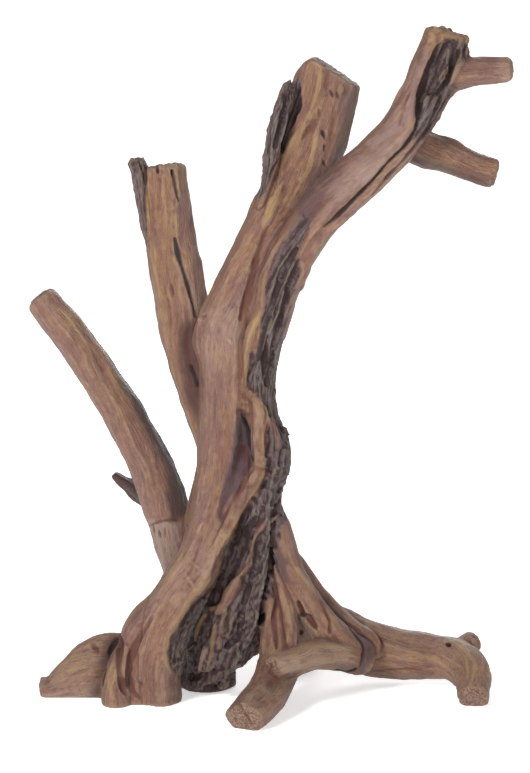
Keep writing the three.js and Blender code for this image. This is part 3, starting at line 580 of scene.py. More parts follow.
# Lines on the back, as (lift, paint, share, half width, places), with a place as (x, z), in
# millimetres.
BACK_RAISED = {
    "back_ridge_left": (0.6, "ochre", 0.7, 3.5, [(-8, 222), (-11, 185), (-10, 140), (-16, 96),
        (-24, 50)]),
    "back_ridge_right": (0.6, "ochre", 0.5, 3.2, [(12, 212), (2, 168), (-3, 122), (-11, 76), (-14, 30)]),
    "back_branch_ridge": (0.6, "ochre", 0.5, 2.9, [(42, 258), (62, 276), (78, 300), (86, 324)]),
    "back_stump_ridge": (0.6, "ochre", 0.8, 3.2, [(10, 250), (20, 272), (30, 296)]),
    "back_rear_ridge": (0.5, "ochre", 0.7, 2.8, [(-30, 150), (-40, 190), (-50, 240)]),
}
BACK_CARVED = {
    "back_cleft": (1.4, "dark", 0.8, 3, [(2, 226), (-5, 190), (-7, 150), (-12, 112)]),
    "back_low_cleft": (1.3, "dark", 0.8, 2.8, [(-18, 84), (-20, 56), (-20, 26)]),
    "back_branch_split": (1.5, "dark", 0.9, 1.5, [(36, 250), (56, 268), (74, 288), (84, 306)]),
    "back_stump_split": (1.4, "dark", 0.9, 1.5, [(18, 256), (27, 280), (31, 300)]),
    "back_root_groove": (1.1, "red", 0.7, 2, [(4, 66), (8, 44), (14, 24)]),
    "back_arm_groove": (1.1, "red", 0.7, 2.2, [(14, 58), (28, 38), (48, 22), (72, 18)]),
}
# Knobs of bark and burls, as (x, y, radius) in pixels.
KNOBS = [
    (245, 407, 5), (286, 432, 6), (287, 452, 7), (284, 470, 7), (265, 462, 6), (277, 473, 6),
    (284, 496, 6), (272, 497, 6), (266, 508, 5), (221, 678, 9), (254, 663, 6), (238, 657, 5),
    (190, 652, 7), (181, 660, 6), (200, 641, 5), (262, 557, 5), (261, 628, 5), (247, 585, 5),
    (433, 38, 5), (443, 38, 5), (452, 37, 4), (463, 42, 6), (468, 51, 4), (131, 166, 5), (201, 322, 5),
    (207, 610, 4), (196, 686, 5), (473, 643, 4),
]
TRUNK = ("left_stem", "right_stem", "back_stem", "bulge_lobe", "toe")
LOW_ROOTS = ("front_root", "arm", "front_strand")
TWIG_PLACE = [(104, 464), (160, 464), (160, 520), (104, 520)]
# Outlines of coloured places in the photograph's pixels, as (paint, limbs, share, corners).
PAINTED = {
    "trunk_bark": ("bark", TRUNK, 1, [(303, 214), (310, 222), (307, 233), (301, 247), (298, 262),
        (298, 276), (294, 290), (290, 304), (286, 320), (283, 338), (289, 350), (297, 375), (297, 400),
        (272, 408), (262, 400), (249, 390), (246, 370), (251, 354), (258, 347), (259, 336), (261, 323),
        (264, 311), (266, 296), (265, 287), (269, 271), (275, 257), (282, 243), (295, 230)]),
    "knobbly_bark": ("bark", TRUNK + LOW_ROOTS, 1, [(262, 400), (275, 404), (297, 398), (302, 420),
        (304, 498), (288, 513), (279, 530), (277, 560), (278, 578), (274, 592), (266, 602), (263, 614),
        (262, 626), (259, 640), (258, 656), (242, 674), (228, 684), (217, 688), (200, 690), (190, 686),
        (180, 681), (172, 666), (167, 653), (169, 645), (173, 637), (180, 625), (187, 613), (193, 604),
        (200, 598), (209, 590), (216, 582), (220, 572), (222, 560), (224, 550), (233, 533), (241, 518),
        (249, 505), (257, 492), (264, 479), (266, 465), (265, 450), (266, 432), (270, 420)]),
    # Painted shade in the trunk's hollow, in dark purple.
    "hollow": ("purple_shade", TRUNK, 1, [(238, 409), (246, 413), (251, 426), (252, 440), (254, 454),
        (254, 462), (249, 474), (242, 481), (237, 489), (230, 499), (224, 509), (221, 521), (218, 516),
        (220, 501), (223, 487), (226, 476), (230, 461), (233, 447), (235, 430), (236, 419)]),
    "stump_strip": ("bark", ("left_stem", "bark_strip"), 1, [(297, 80), (302, 88), (299, 110),
        (293, 123), (287, 136), (282, 153), (277, 164), (272, 176), (265, 191), (259, 198), (255, 190),
        (258, 171), (262, 140), (268, 110), (276, 88), (286, 78)]),
    "gash": ("bark", ("right_stem",), 1, [(437, 46), (447, 39), (455, 37), (462, 40), (472, 44),
        (475, 54), (470, 66), (463, 78), (457, 90), (450, 103), (442, 116), (433, 129), (424, 141),
        (417, 146), (414, 136), (416, 120), (414, 108), (418, 92), (422, 78), (428, 62)]),
    "ledge": ("bark", ("rear_branch", "rear_ledge"), 0.85, [(122, 156), (137, 154), (145, 160),
        (146, 180), (145, 215), (147, 243), (145, 254), (136, 244), (130, 215), (124, 185)]),
    "arm_band": ("purple_shade", ("arm", "rear_strand", "front_strand", "cross_root"), 0.8, [(317, 592),
        (329, 605), (341, 617), (353, 629), (365, 635), (372, 642), (374, 652), (370, 663), (364, 672),
        (358, 668), (362, 656), (364, 645), (357, 639), (345, 626), (332, 613), (322, 603)]),
    "toe_patch": ("moss", ("left_root", "left_stem", "toe", "bulge_lobe"), 0.9, [(112, 634), (121, 631),
        (121, 657), (114, 659), (112, 645)]),
    "grey_patch": ("moss", TRUNK, 1, [(167, 650), (178, 646), (190, 650), (192, 662), (184, 674),
        (174, 674), (168, 664)]),
    "lens_moss": ("moss", TRUNK, 0.8, [(203, 612), (217, 611), (218, 624), (210, 628), (202, 626)]),
    "branch_shade": ("shade", ("left_branch",), 1, [(112, 352), (120, 385), (131, 410), (146, 435),
        (156, 455), (166, 475), (168, 495), (170, 519), (182, 522), (196, 529), (212, 520), (205, 480),
        (180, 440), (150, 390), (126, 352)]),
    "twig_dark": ("dark", ("twig",), 0.4, TWIG_PLACE),
    "twig_shade": ("shade", ("twig",), 1, TWIG_PLACE),
    "twig_red": ("red", ("twig",), 0.6, TWIG_PLACE),
    "stub_shade": ("shade", ("lower_stub",), 0.7, [(400, 150), (414, 152), (432, 160), (452, 167),
        (474, 172), (492, 178), (492, 194), (440, 184), (400, 172)]),
    "root_shade": ("shade", ("left_root", "toe"), 0.85, [(106, 643), (113, 636), (120, 634), (116, 652),
        (111, 662), (104, 674), (101, 684), (103, 700), (90, 700), (96, 684), (99, 664)]),
    "base_shade": ("shade", TRUNK, 0.9, [(176, 684), (190, 678), (205, 676), (222, 668), (240, 668),
        (256, 660), (262, 668), (240, 690), (212, 698), (176, 704)]),
    "cross_shade": ("shade", ("cross_root", "arm", "front_root", "front_strand"), 0.5, [(262, 676),
        (284, 683), (297, 672), (330, 668), (345, 664), (364, 664), (366, 684), (330, 682), (292, 690),
        (268, 694)]),
    "stem_shade": ("red", TRUNK, 0.5, [(225, 415), (236, 412), (234, 430), (232, 450), (228, 470),
        (223, 488), (218, 520), (208, 560), (200, 570), (205, 540), (214, 500), (222, 455)]),
    "arm_shade": ("purple_shade", ("arm", "front_strand"), 0.7, [(268, 545), (276, 540), (287, 560),
        (290, 582), (276, 584)]),
    "fold_shade": ("purple_shade", ("right_stem", "left_stem"), 0.7, [(299, 196), (312, 186), (324, 196),
        (318, 214), (304, 232), (290, 240), (296, 218)]),
    "crotch_shade": ("purple_shade", ("left_stem", "right_stem"), 0.5, [(312, 166), (330, 172), (346, 158),
        (336, 180), (316, 196), (304, 200)]),
    "arm_under": ("shade", ("arm",), 0.5, [(372, 672), (424, 674), (455, 684), (460, 694), (420, 688),
        (370, 684)]),
    "rear_shade": ("shade", ("rear_branch",), 0.85, [(182, 326), (200, 318), (206, 344), (206, 400),
        (196, 420), (186, 400), (181, 372), (179, 345)]),
    "stump_shade": ("shade", ("left_stem",), 0.3, [(330, 66), (348, 78), (358, 92), (354, 120),
        (344, 160), (322, 178), (330, 140), (334, 100)]),
    "pale_patch": ("pale", ("left_branch",), 0.9, [(146, 524), (158, 523), (170, 520), (184, 524),
        (200, 534), (205, 560), (195, 594), (160, 594), (150, 560)]),
    "knee_glints": ("pale", TRUNK, 0.2, [(208, 308), (228, 304), (240, 330), (226, 348), (210, 334)]),
    "foot_glints": ("pale", TRUNK, 0.4, [(196, 548), (206, 548), (208, 574), (199, 580)]),
    "foot_mauve": ("mauve", TRUNK + ("left_root",), 0.9, [(120, 640), (132, 610), (152, 598), (160, 612),
        (142, 634), (134, 655), (131, 672), (136, 696), (120, 700), (116, 668)]),
    "foot_inner_mauve": ("mauve", TRUNK, 0.7, [(136, 665), (150, 655), (154, 675), (152, 698),
        (138, 700)]),
    "stem_mauve": ("mauve", TRUNK, 0.9, [(205, 330), (222, 305), (244, 262), (256, 258), (252, 285),
        (242, 318), (228, 345), (222, 400), (214, 460), (206, 520), (190, 575), (174, 588), (190, 540),
        (202, 470)]),
    "branch_mauve": ("mauve", ("right_stem",), 0.9, [(300, 215), (320, 185), (345, 158), (375, 130),
        (396, 100), (412, 72), (428, 34), (440, 40), (426, 75), (416, 108), (404, 140), (374, 174),
        (338, 212), (318, 226)]),
    "branch_pale": ("pale", ("right_stem",), 0.5, [(330, 185), (360, 152), (396, 110), (410, 80),
        (424, 50), (434, 50), (420, 100), (405, 140), (376, 172), (340, 204)]),
    "lower_branch_mauve": ("mauve", ("right_stem",), 0.8, [(448, 88), (462, 84), (450, 112), (425, 146),
        (390, 186), (350, 222), (330, 236), (350, 208), (400, 164), (430, 124)]),
    # Painted light: the next five places are made lighter, as if lit more brightly.
    "cross_painted_light": ("light", ("cross_root", "front_root"), 0.9, [(268, 655), (292, 642), (330, 634),
        (352, 642), (352, 664), (296, 676), (276, 700), (240, 732), (226, 724), (236, 700), (262, 680)]),
    "knee_painted_light": ("light", TRUNK, 0.4, [(202, 315), (240, 296), (248, 330), (236, 372), (204, 372)]),
    "left_root_painted_light": ("light", ("left_root",), 0.5, [
        (46, 672), (72, 652), (104, 636), (100, 668), (92, 700), (42, 700)]),
    "arm_painted_light": ("light", ("arm",), 0.35, [
        (300, 575), (330, 600), (372, 622), (440, 632), (480, 652), (486, 690), (462, 700), (452, 666),
        (380, 650), (330, 615)]),
    "foot_painted_light": ("light", TRUNK, 0.35, [(190, 545), (222, 520), (216, 560), (200, 590), (176, 606),
        (150, 612), (160, 586)]),
    "arm_mauve": ("mauve", ("arm", "front_strand"), 0.8, [(291, 540), (312, 572), (345, 605), (376, 620),
        (440, 632), (452, 646), (400, 650), (372, 640), (330, 605), (305, 580)]),
    "root_mauve": ("mauve", ("front_root",), 0.6, [(262, 596), (280, 594), (284, 620), (276, 650),
        (250, 705), (232, 724), (228, 706), (250, 682)]),
    "left_branch_mauve": ("mauve", ("left_branch",), 0.5, [(34, 292), (60, 300), (96, 344), (112, 366),
        (150, 460), (168, 520), (150, 520), (128, 450), (84, 380), (36, 316)]),
    "rear_mauve": ("mauve", ("rear_branch",), 0.5, [(168, 168), (182, 172), (196, 240), (204, 300),
        (190, 300), (178, 250)]),
    "left_root_mauve": ("mauve", ("left_root",), 0.6, [(42, 676), (60, 684), (96, 682), (96, 698),
        (42, 700)]),
    "stub_mauve": ("mauve", ("upper_stub",), 0.9, [(464, 50), (500, 54), (500, 86), (464, 92)]),
    "stem_ochre": ("ochre", TRUNK, 0.5, [(238, 322), (250, 318), (247, 350), (243, 392), (234, 398),
        (236, 352)]),
    "stem_ochre_low": ("ochre", TRUNK, 0.3, [(198, 400), (212, 400), (208, 460), (200, 520), (186, 560),
        (190, 500)]),
    "foot_ochre": ("ochre", TRUNK, 0.5, [(158, 600), (176, 600), (170, 640), (158, 670), (164, 694),
        (150, 702), (146, 670), (156, 640)]),
    "toe_ochre": ("ochre", ("toe", "bulge_lobe", "left_stem"), 0.5, [(103, 676), (116, 670), (119, 690),
        (114, 704), (103, 700)]),
    "rear_ochre": ("ochre", ("rear_branch",), 0.6, [(148, 170), (172, 176), (176, 230), (178, 268),
        (170, 330), (160, 320), (150, 270)]),
    "stump_ochre": ("ochre", ("left_stem",), 0.4, [(312, 62), (330, 72), (326, 105), (312, 150),
        (296, 190), (272, 222), (276, 180), (300, 130)]),
    "cross_ochre": ("ochre", ("cross_root",), 0.4, [(290, 640), (330, 634), (352, 642), (352, 664),
        (292, 670)]),
    "arm_ochre": ("ochre", ("arm",), 0.4, [(372, 640), (440, 650), (450, 664), (400, 668), (370, 664)]),
    "elbow_ochre": ("ochre", ("arm",), 0.5, [(455, 642), (478, 650), (488, 670), (476, 684),
        (460, 668)]),
    "root_ochre": ("ochre", ("front_root", "rib"), 0.5, [(258, 650), (284, 640), (290, 664), (276, 700),
        (258, 716), (262, 684)]),
    "left_root_ochre": ("ochre", ("left_root",), 0.5, [(48, 672), (70, 655), (100, 636), (106, 644),
        (92, 664), (60, 682)]),
    "branch_top_ochre": ("ochre", ("left_branch",), 0.4, [(62, 312), (95, 352), (112, 377), (128, 412),
        (124, 440), (100, 392), (74, 348)]),
    "gash_top": ("ochre", ("right_stem",), 0.7, [(428, 30), (472, 36), (472, 46), (452, 40), (438, 50),
        (428, 50)]),
    "stub_end": ("light", ("upper_stub",), 0.7, [(499, 52), (520, 54), (520, 88), (502, 88)]),
    "lower_stub_ochre": ("ochre", ("lower_stub",), 0.3, [(425, 130), (470, 146), (500, 158), (496, 172),
        (440, 156)]),
    "cross_red": ("red", ("cross_root", "front_root"), 0.8, [(262, 664), (276, 664), (280, 682),
        (266, 684)]),
    "arm_red": ("red", ("arm", "cross_root"), 0.5, [(348, 620), (366, 624), (376, 640), (364, 642),
        (350, 630)]),
    "base_red": ("red", TRUNK, 0.6, [(218, 664), (232, 664), (232, 676), (218, 676)]),
    "hollow_red": ("red", TRUNK, 0.4, [(250, 416), (259, 420), (260, 462), (254, 474), (250, 450)]),
    # Painted shadow that the rear branch's knuckle casts into this recess.
    "recess_shadow": ("red", ("rear_branch", "left_stem"), 0.6, [(182, 332), (196, 330), (203, 400),
        (190, 404)]),
    "rim_red": ("red", ("right_stem",), 0.4, [(308, 246), (314, 252), (304, 285), (298, 310), (292, 345),
        (284, 362), (284, 330), (298, 284)]),
    "pocket_red": ("red", TRUNK, 0.6, [(201, 628), (211, 628), (211, 645), (201, 645)]),
}
# Which limbs carry bark at the back, and how much of them it takes.
BACK_BARK = {
    "left_stem": 0.4, "right_stem": 0.5, "back_stem": 0.7, "back_root": 0.3, "arm": 0.25,
    "rear_branch": 0.3, "left_branch": 0.25, "lower_stub": 0.15, "upper_stub": 0.15, "front_root": 0.2,
    "cross_root": 0.15, "left_root": 0.3, "twig": 0.0, "bark_strip": 1.0, "rear_ledge": 0.7,
    "rear_strand": 0.4, "other": 0.2,
}


def spline(rows, places):
    """A smooth curve through rows of values at places from 0 to 1, and its slope."""
    rows = np.array(rows, float)
    spans = len(rows) - 1
    rows = np.vstack([2 * rows[0] - rows[1], rows, 2 * rows[-1] - rows[-2]])
    scaled = np.clip(places, 0, 1) * spans
    first = np.minimum(scaled.astype(int), spans - 1)
    t = (scaled - first)[:, None]
    before, start, end, beyond = (rows[first + step] for step in range(4))
    leave = (end - before) / 2
    arrive = (beyond - start) / 2
    point = ((2 * t**3 - 3 * t**2 + 1) * start + (t**3 - 2 * t**2 + t) * leave
             + (3 * t**2 - 2 * t**3) * end + (t**3 - t**2) * arrive)
    slope = ((6 * t**2 - 6 * t) * start + (3 * t**2 - 4 * t + 1) * leave
             + (6 * t - 6 * t**2) * end + (3 * t**2 - 2 * t) * arrive)
    return point, slope


def unit(vectors):
    """The vectors, each with a length of one."""
    return vectors / np.maximum(np.linalg.norm(vectors, axis=-1, keepdims=True), 1e-9)


def smooth_step(low, high, values):
    """0 below low, 1 above high and a soft rise between them."""
    share = np.clip((values - low) / (high - low), 0, 1)
    return share * share * (3 - 2 * share)


def noise(points):
    """Soft noise from -1 to 1 that changes once in every unit of length."""
    cell = np.floor(points).astype(int)
    part = points - cell
    part = part**3 * (part * (part * 6 - 15) + 10)
    total = np.zeros(len(points))
    for corner in np.ndindex(2, 2, 2):
        share = np.prod(np.where(corner, part, 1 - part), axis=1)
        at = (cell + corner) % NOISE_TABLE.shape[0]
        total += share * NOISE_TABLE[at[:, 0], at[:, 1], at[:, 2]]
    return total


def layered(points, layers=3):
    """Noise with finer, weaker layers of itself on top."""
    return sum(noise(points * 2**k + 17.3 * k) / 2**k for k in range(layers))


class Limb:
    """One limb: its centre line, the axes across and into it, and its half widths."""

    def __init__(self, name):
        data = LIMBS[name]
        self.lobes = data.get("lobes", [])
        self.bumps = data.get("bumps", [])
        centres = [station[:3] for station in data["stations"]]
        widths = [station[3:] for station in data["stations"]]
        rough, _ = spline(centres, np.linspace(0, 1, 200))
        self.length = np.linalg.norm(np.diff(rough, axis=0), axis=1).sum()
        self.places = np.linspace(0, 1, max(8, int(self.length / RING_STEP)))
        self.centre, slope = spline(centres, self.places)
        self.half, _ = spline(widths, self.places)
        self.tangent = unit(slope)
        self.deep = np.empty_like(self.tangent)
        facing = np.array([0.0, -1.0, 0.0])
        for i, tangent in enumerate(self.tangent):
            facing = facing - tangent * facing.dot(tangent)
            facing = facing / np.linalg.norm(facing)
            self.deep[i] = facing
        self.across = np.cross(self.tangent, self.deep)
        self.ends = ENDS.get(name, ENDS["other"])

    def swelling(self, places, angles):
        """How far the limb swells or shrinks at places along it and angles round it."""
        share = np.ones(np.broadcast(places, angles).shape)
        for count, size, at, turn in self.lobes:
            share += size * np.cos(count * (angles - math.radians(at)) - math.radians(turn) * places)
        for place, at, length, spread, size in self.bumps:
            turned = angles - math.radians(at)
            around = np.arctan2(np.sin(turned), np.cos(turned)) / math.radians(spread)
            share += size * np.exp(-(((places - place) / length) ** 2) - around**2)
        return share

    def skin(self):
        """The limb as a closed tube with rounded, uneven ends: points and quads."""
        rounding, ragged = self.ends
        angles = np.linspace(0, 2 * math.pi, SIDES, endpoint=False)
        spacing = self.length / (len(self.places) - 1)
        inset = np.zeros(len(self.places))
        for i in range(len(self.places)):
            from_end = min(i, len(self.places) - 1 - i) * spacing
            if from_end < rounding:
                inset[i] = rounding - math.sqrt(rounding**2 - (rounding - from_end) ** 2)
        swell = self.swelling(self.places[:, None], angles[None, :])
        wide = self.half[:, :1] * swell - inset[:, None]
        deep = self.half[:, 1:] * swell - inset[:, None]
        sine = np.sin(angles)[None, :]
        cosine = np.cos(angles)[None, :]
        rings = [self.ring(i, sine * wide[i], cosine * deep[i]) for i in range(len(self.places))]
        first, last = (
            [self.ring(i, sine * wide[i] * share, cosine * deep[i] * share) for share in CAP_SHARES]
            for i in (0, -1))
        rings = np.vstack(first + rings + last[::-1])
        ragged_from = len(rings) - RAGGED_DEPTH / spacing - len(CAP_SHARES)
        near_end = smooth_step(ragged_from, len(rings), np.arange(len(rings)))
        push = noise(rings.reshape(-1, 3) / RAGGED_SIZE) * ragged * np.repeat(near_end, SIDES)
        points = rings.reshape(-1, 3) + self.tangent[-1] * push[:, None]
        count = len(rings)
        ring, side = np.meshgrid(np.arange(count - 1), np.arange(SIDES), indexing="ij")
        after = (side + 1) % SIDES
        quads = np.stack([ring * SIDES + side, ring * SIDES + after,
                          (ring + 1) * SIDES + after, (ring + 1) * SIDES + side], axis=-1)
        return points, quads.reshape(-1, 4)

    def ring(self, index, across, deep):
        """One ring of points round the centre line."""
        points = self.centre[index] + self.across[index] * across.T + self.deep[index] * deep.T
        return points[None]

    def straightened(self, points):
        """Each point's place across, into and along the limb, and how far it faces the ends."""
        nearest = np.empty(len(points), int)
        for start in range(0, len(points), CHUNK):
            chunk = points[start:start + CHUNK]
            squares = (chunk**2).sum(1)[:, None] - 2 * chunk @ self.centre.T + (self.centre**2).sum(1)
            nearest[start:start + CHUNK] = squares.argmin(1)
        offset = points - self.centre[nearest]
        along = (offset * self.tangent[nearest]).sum(1)
        return np.stack([
            (offset * self.across[nearest]).sum(1),
            (offset * self.deep[nearest]).sum(1),
            self.places[nearest] * self.length + along,
        ], axis=1), self.tangent[nearest]


class Block:
    """A grid of distances to the wood's surface, below zero inside it, in millimetres."""

    def __init__(self, low, high):
        self.first = np.floor(np.array(low) / STEP).astype(int)
        last = np.ceil(np.array(high) / STEP).astype(int)
        self.distance = np.full(last - self.first + 1, REACH, np.float32)

    def part(self, low, high):
        """The cells between two corners, and their coordinates."""
        start = np.clip(np.floor(low / STEP).astype(int) - self.first, 0, None)
        stop = np.clip(np.ceil(high / STEP).astype(int) - self.first + 1, 1, self.distance.shape)
        cells = tuple(slice(a, max(a, b)) for a, b in zip(start, stop))
        axes = np.ogrid[cells]
        return cells, [(axis + first) * STEP for axis, first in zip(axes, self.first)]

    def sample(self, points):
        """The distances at points, REACH where they lie outside the grid."""
        place = points / STEP - self.first
        cell = np.floor(place).astype(int)
        part = place - cell
        limit = np.array(self.distance.shape) - 2
        outside = ((cell < 0) | (cell > limit)).any(axis=-1)
        cell = np.clip(cell, 0, limit)
        total = np.zeros(points.shape[:-1])
        for corner in np.ndindex(2, 2, 2):
            share = np.prod(np.where(corner, part, 1 - part), axis=-1)
            at = cell + corner
            total += share * self.distance[at[..., 0], at[..., 1], at[..., 2]]
        total[outside] = REACH
        return total

    def slope(self, points):
        """The direction out of the wood at points."""
        change = np.empty(points.shape)
        for axis in range(3):
            step = np.zeros(3)
            step[axis] = STEP
            change[..., axis] = self.sample(points + step) - self.sample(points - step)
        return unit(change)

    def add(self, cells, distance, fillet):
        """Joins more wood on, with a fillet of that radius."""
        old = self.distance[cells]
        near = np.maximum(fillet - np.abs(old - distance), 0) / fillet
        self.distance[cells] = np.minimum(old, distance) - near * near * fillet / 4

    def cut(self, cells, distance, fillet):
        """Takes away what lies inside a shape, and rounds the edge it leaves."""
        old = self.distance[cells]
        near = np.maximum(fillet - np.abs(old + distance), 0) / fillet
        self.distance[cells] = np.maximum(old, -distance) + near * near * fillet / 4

    def first_hits(self, starts, directions, march):
        """Where each ray first meets the wood, and nan where it meets none."""
        steps = np.arange(*march, STEP)
        at = starts[:, None] + directions[:, None] * steps[None, :, None]
        depth = self.sample(at)
        inside = depth < 0
        first = np.maximum(inside.argmax(axis=1), 1)
        row = np.arange(len(starts))
        outer, inner = depth[row, first - 1], depth[row, first]
        share = outer / np.maximum(outer - inner, 1e-6)
        found = starts + directions * (steps[first - 1] + share * STEP)[:, None]
        found[~inside.any(axis=1)] = np.nan
        return found

    def surface(self):
        """The wood's surface as points and quads that face outwards."""
        grid = openvdb.FloatGrid(REACH)
        grid.transform = openvdb.createLinearTransform(STEP)
        grid.copyFromArray(self.distance, ijk=tuple(int(i) for i in self.first))
        points, quads = grid.convertToQuads(isovalue=0)
        return np.array(points, float), np.array(quads, int)


def limb_block(name, limb):
    """The distances round one limb, with its slopes cut."""
    points, quads = limb.skin()
    grid = openvdb.FloatGrid.createLevelSetFromPolygons(
        points.astype(np.float32), quads=quads.astype(np.uint32),
        transform=openvdb.createLinearTransform(STEP), halfWidth=BAND)
    low, high = grid.evalActiveVoxelBoundingBox()
    block = Block(np.array(low) * STEP, np.array(high) * STEP)
    grid.copyToArray(block.distance, ijk=tuple(int(i) for i in block.first))
    for point, normal in TRIMS.get(name, []):
        cells, axes = block.part(np.full(3, -TANK), np.full(3, TANK))
        side = unit(np.array(normal, float))
        beyond = sum((axis - at) * slope for axis, at, slope in zip(axes, point, side))
        block.cut(cells, -beyond, EDGE_FILLET)
    return block


def seen_ray(places):
    """Rays from the camera through pixels of the photograph: starts and directions."""
    tilt = math.radians(CAMERA["tilt"])
    ahead = np.array([0, math.cos(tilt), -math.sin(tilt)])
    above = np.array([0, math.sin(tilt), math.cos(tilt)])
    eye = np.array([0, 0, CAMERA["aim_height"]]) - ahead * CAMERA["distance"]
    right = (places[:, :1] - PHOTO["width"] / 2) / CAMERA["focal_px"]
    up = (PHOTO["height"] / 2 - places[:, 1:2]) / CAMERA["focal_px"]
    directions = ahead + right * np.array([1.0, 0, 0]) + up * above
    return np.repeat(eye[None], len(places), axis=0), directions


def pixels_of(points):
    """Where the camera sees points, in the photograph's pixels."""
    starts, ahead = seen_ray(np.array([[PHOTO["width"] / 2, PHOTO["height"] / 2]]))
    offset = points - starts[0]
    depth = offset @ ahead[0]
    above = np.cross([1.0, 0, 0], ahead[0])
    x = PHOTO["width"] / 2 + CAMERA["focal_px"] * offset[:, 0] / depth
    y = PHOTO["height"] / 2 - CAMERA["focal_px"] * (offset @ above) / depth
    return np.stack([x, y], axis=1)


def line_through(places, spacing):
    """A smooth line through flat places, at an even spacing."""
    rough, _ = spline(places, np.linspace(0, 1, 50))
    length = np.linalg.norm(np.diff(rough, axis=0), axis=1).sum()
    line, _ = spline(places, np.linspace(0, 1, max(4, int(length / spacing))))
    return line


def settled(points):
    """A line of points with its gaps filled from their neighbours and its steps evened out."""
    known = ~np.isnan(points[:, 0])
    index = np.arange(len(points))
    filled = np.stack([np.interp(index, index[known], points[known, axis]) for axis in range(3)], axis=1)
    padded = np.vstack([filled[:1], filled[:1], filled, filled[-1:], filled[-1:]])
    return sum(padded[k:k + len(filled)] for k in range(5)) / 5


def seen_hits(block, places):
    """Where the camera sees the wood through pixels of the photograph."""
    starts, directions = seen_ray(places)
    span = (CAMERA["distance"] - SEEN_DEPTH, CAMERA["distance"] + SEEN_DEPTH)
    return block.first_hits(starts, directions, span)


def front_line(block, places, half):
    """A line of pixels laid on the wood that the camera sees: its points and half width."""
    return settled(seen_hits(block, line_through(places, LAY_STEP / PIXEL))), half * PIXEL


def back_line(block, places, half):
    """A line of (x, z) laid on the back of the wood: its points and half width."""
    line = line_through(places, LAY_STEP)
    starts = np.stack([line[:, 0], np.full(len(line), SEEN_DEPTH), line[:, 1]], axis=1)
    directions = np.repeat([[0, -1.0, 0]], len(line), axis=0)
    return settled(block.first_hits(starts, directions, (0, 2 * SEEN_DEPTH))), half


def overlap(block, other):
    """The cells that two grids share, in each of them."""
    offset = other.first - block.first
    low = np.maximum(offset, 0)
    high = np.minimum(offset + other.distance.shape, block.distance.shape)
    here = tuple(slice(a, max(a, b)) for a, b in zip(low, high))
    there = tuple(slice(a, max(a, b)) for a, b in zip(low - offset, high - offset))
    return here, there


def lay(block, points, half, lift, raised):
    """Lays a rounded ridge along a line on the wood, or cuts a groove: its middle and half widths."""
    outward = block.slope(points)
    from_end = np.minimum(np.arange(len(points)), np.arange(len(points))[::-1]) / len(points)
    thinned = TIP + (1 - TIP) * smooth_step(-TAPER / 2, TAPER, from_end)
    half = half * (1 + WAVER * noise(points / WAVER_LENGTH)) * thinned
    side = 1 if raised else -1
    middle = points + outward * (side * (lift - 1) * half)[:, None]
    fillet = max(LINE_FILLETS["least"], LINE_FILLETS["ridge" if raised else "groove"] * half.max())
    margin = half.max() + fillet + STEP
    line = Block(middle.min(0) - margin, middle.max(0) + margin)
    for start, end, thin, thick in zip(middle[:-1], middle[1:], half[:-1], half[1:]):
        reach = max(thin, thick) + fillet + STEP
        low, high = np.minimum(start, end) - reach, np.maximum(start, end) + reach
        near, (x, y, z) = line.part(low, high)
        step = end - start
        share = ((x - start[0]) * step[0] + (y - start[1]) * step[1] + (z - start[2]) * step[2])
        share = np.clip(share / max(step @ step, 1e-6), 0, 1)
        gap = np.sqrt((x - start[0] - share * step[0]) ** 2 + (y - start[1] - share * step[1]) ** 2
                      + (z - start[2] - share * step[2]) ** 2) - thin - share * (thick - thin)
        line.distance[near] = np.minimum(line.distance[near], gap)
    here, there = overlap(block, line)
    join = block.add if raised else block.cut
    join(here, line.distance[there], fillet)
    return middle, half


def laid(block, table, line_on, raised):
    """Lays a table's lines on the wood: each one's paint, its share, its middle and half widths."""
    lines = []
    for lift, paint, share, half, places in table.values():
        points, half = line_on(block, places, half)
        lines.append((paint, share, *lay(block, points, half, lift, raised)))
    return lines


def carved_wood(limbs):
    """The whole piece as one grid of distances, each limb's own grid, and the lines on it."""
    block = Block((-TANK / 2, -TANK / 4, -STEP), (TANK / 2, TANK / 4, TANK))
    own = {}
    for name, limb in limbs.items():
        own[name] = limb_block(name, limb)
        here, there = overlap(block, own[name])
        block.add(here, own[name].distance[there], FILLETS.get(name, FILLETS["other"]))
    lines = laid(block, RAISED, front_line, True) + laid(block, BACK_RAISED, back_line, True)
    for x, y, size in KNOBS:
        add_knob(block, x, y, size * PIXEL)
    lines += laid(block, CARVED, front_line, False) + laid(block, BACK_CARVED, back_line, False)
    cells, (x, y, z) = block.part(np.full(3, -TANK), np.full(3, TANK))
    block.cut(cells, z + 0 * x + 0 * y, EDGE_FILLET)
    return block, own, lines


def add_knob(block, x, y, radius):
    """A burl or a knob of bark on the wood that the camera sees at a pixel."""
    middle = seen_hits(block, np.array([[x, y]], float))[0]
    if np.isnan(middle[0]):
        return
    middle = middle - block.slope(middle[None])[0] * radius * KNOB["sunk"]
    cells, axes = block.part(middle - radius * KNOB["reach"], middle + radius * KNOB["reach"])
    places = np.stack(np.broadcast_arrays(*axes), axis=-1)
    points = places.reshape(-1, 3)
    gap = np.linalg.norm((points - middle) * [1, 1, KNOB["flat"]], axis=1)
    gap = gap - radius * (1 + KNOB["uneven"] * noise(points / (KNOB["lump"] * radius)))
    block.add(cells, gap.reshape(places.shape[:-1]).astype(np.float32), KNOB["fillet"])


def largest_body(points, quads):
    """The surface without the crumbs that the grooves cut loose."""
    label = np.arange(len(points))
    edges = np.vstack([quads[:, [0, 1]], quads[:, [1, 2]], quads[:, [2, 3]]])
    while True:
        lowest = np.minimum(label[edges[:, 0]], label[edges[:, 1]])
        fresh = label.copy()
        np.minimum.at(fresh, edges[:, 0], lowest)
        np.minimum.at(fresh, edges[:, 1], lowest)
        fresh = np.minimum(fresh, fresh[fresh])
        if (fresh == label).all():
            break
        label = fresh[fresh]
    kept = label == np.bincount(label).argmax()
    renumbered = np.cumsum(kept) - 1
    return points[kept], renumbered[quads[kept[quads[:, 0]]]]


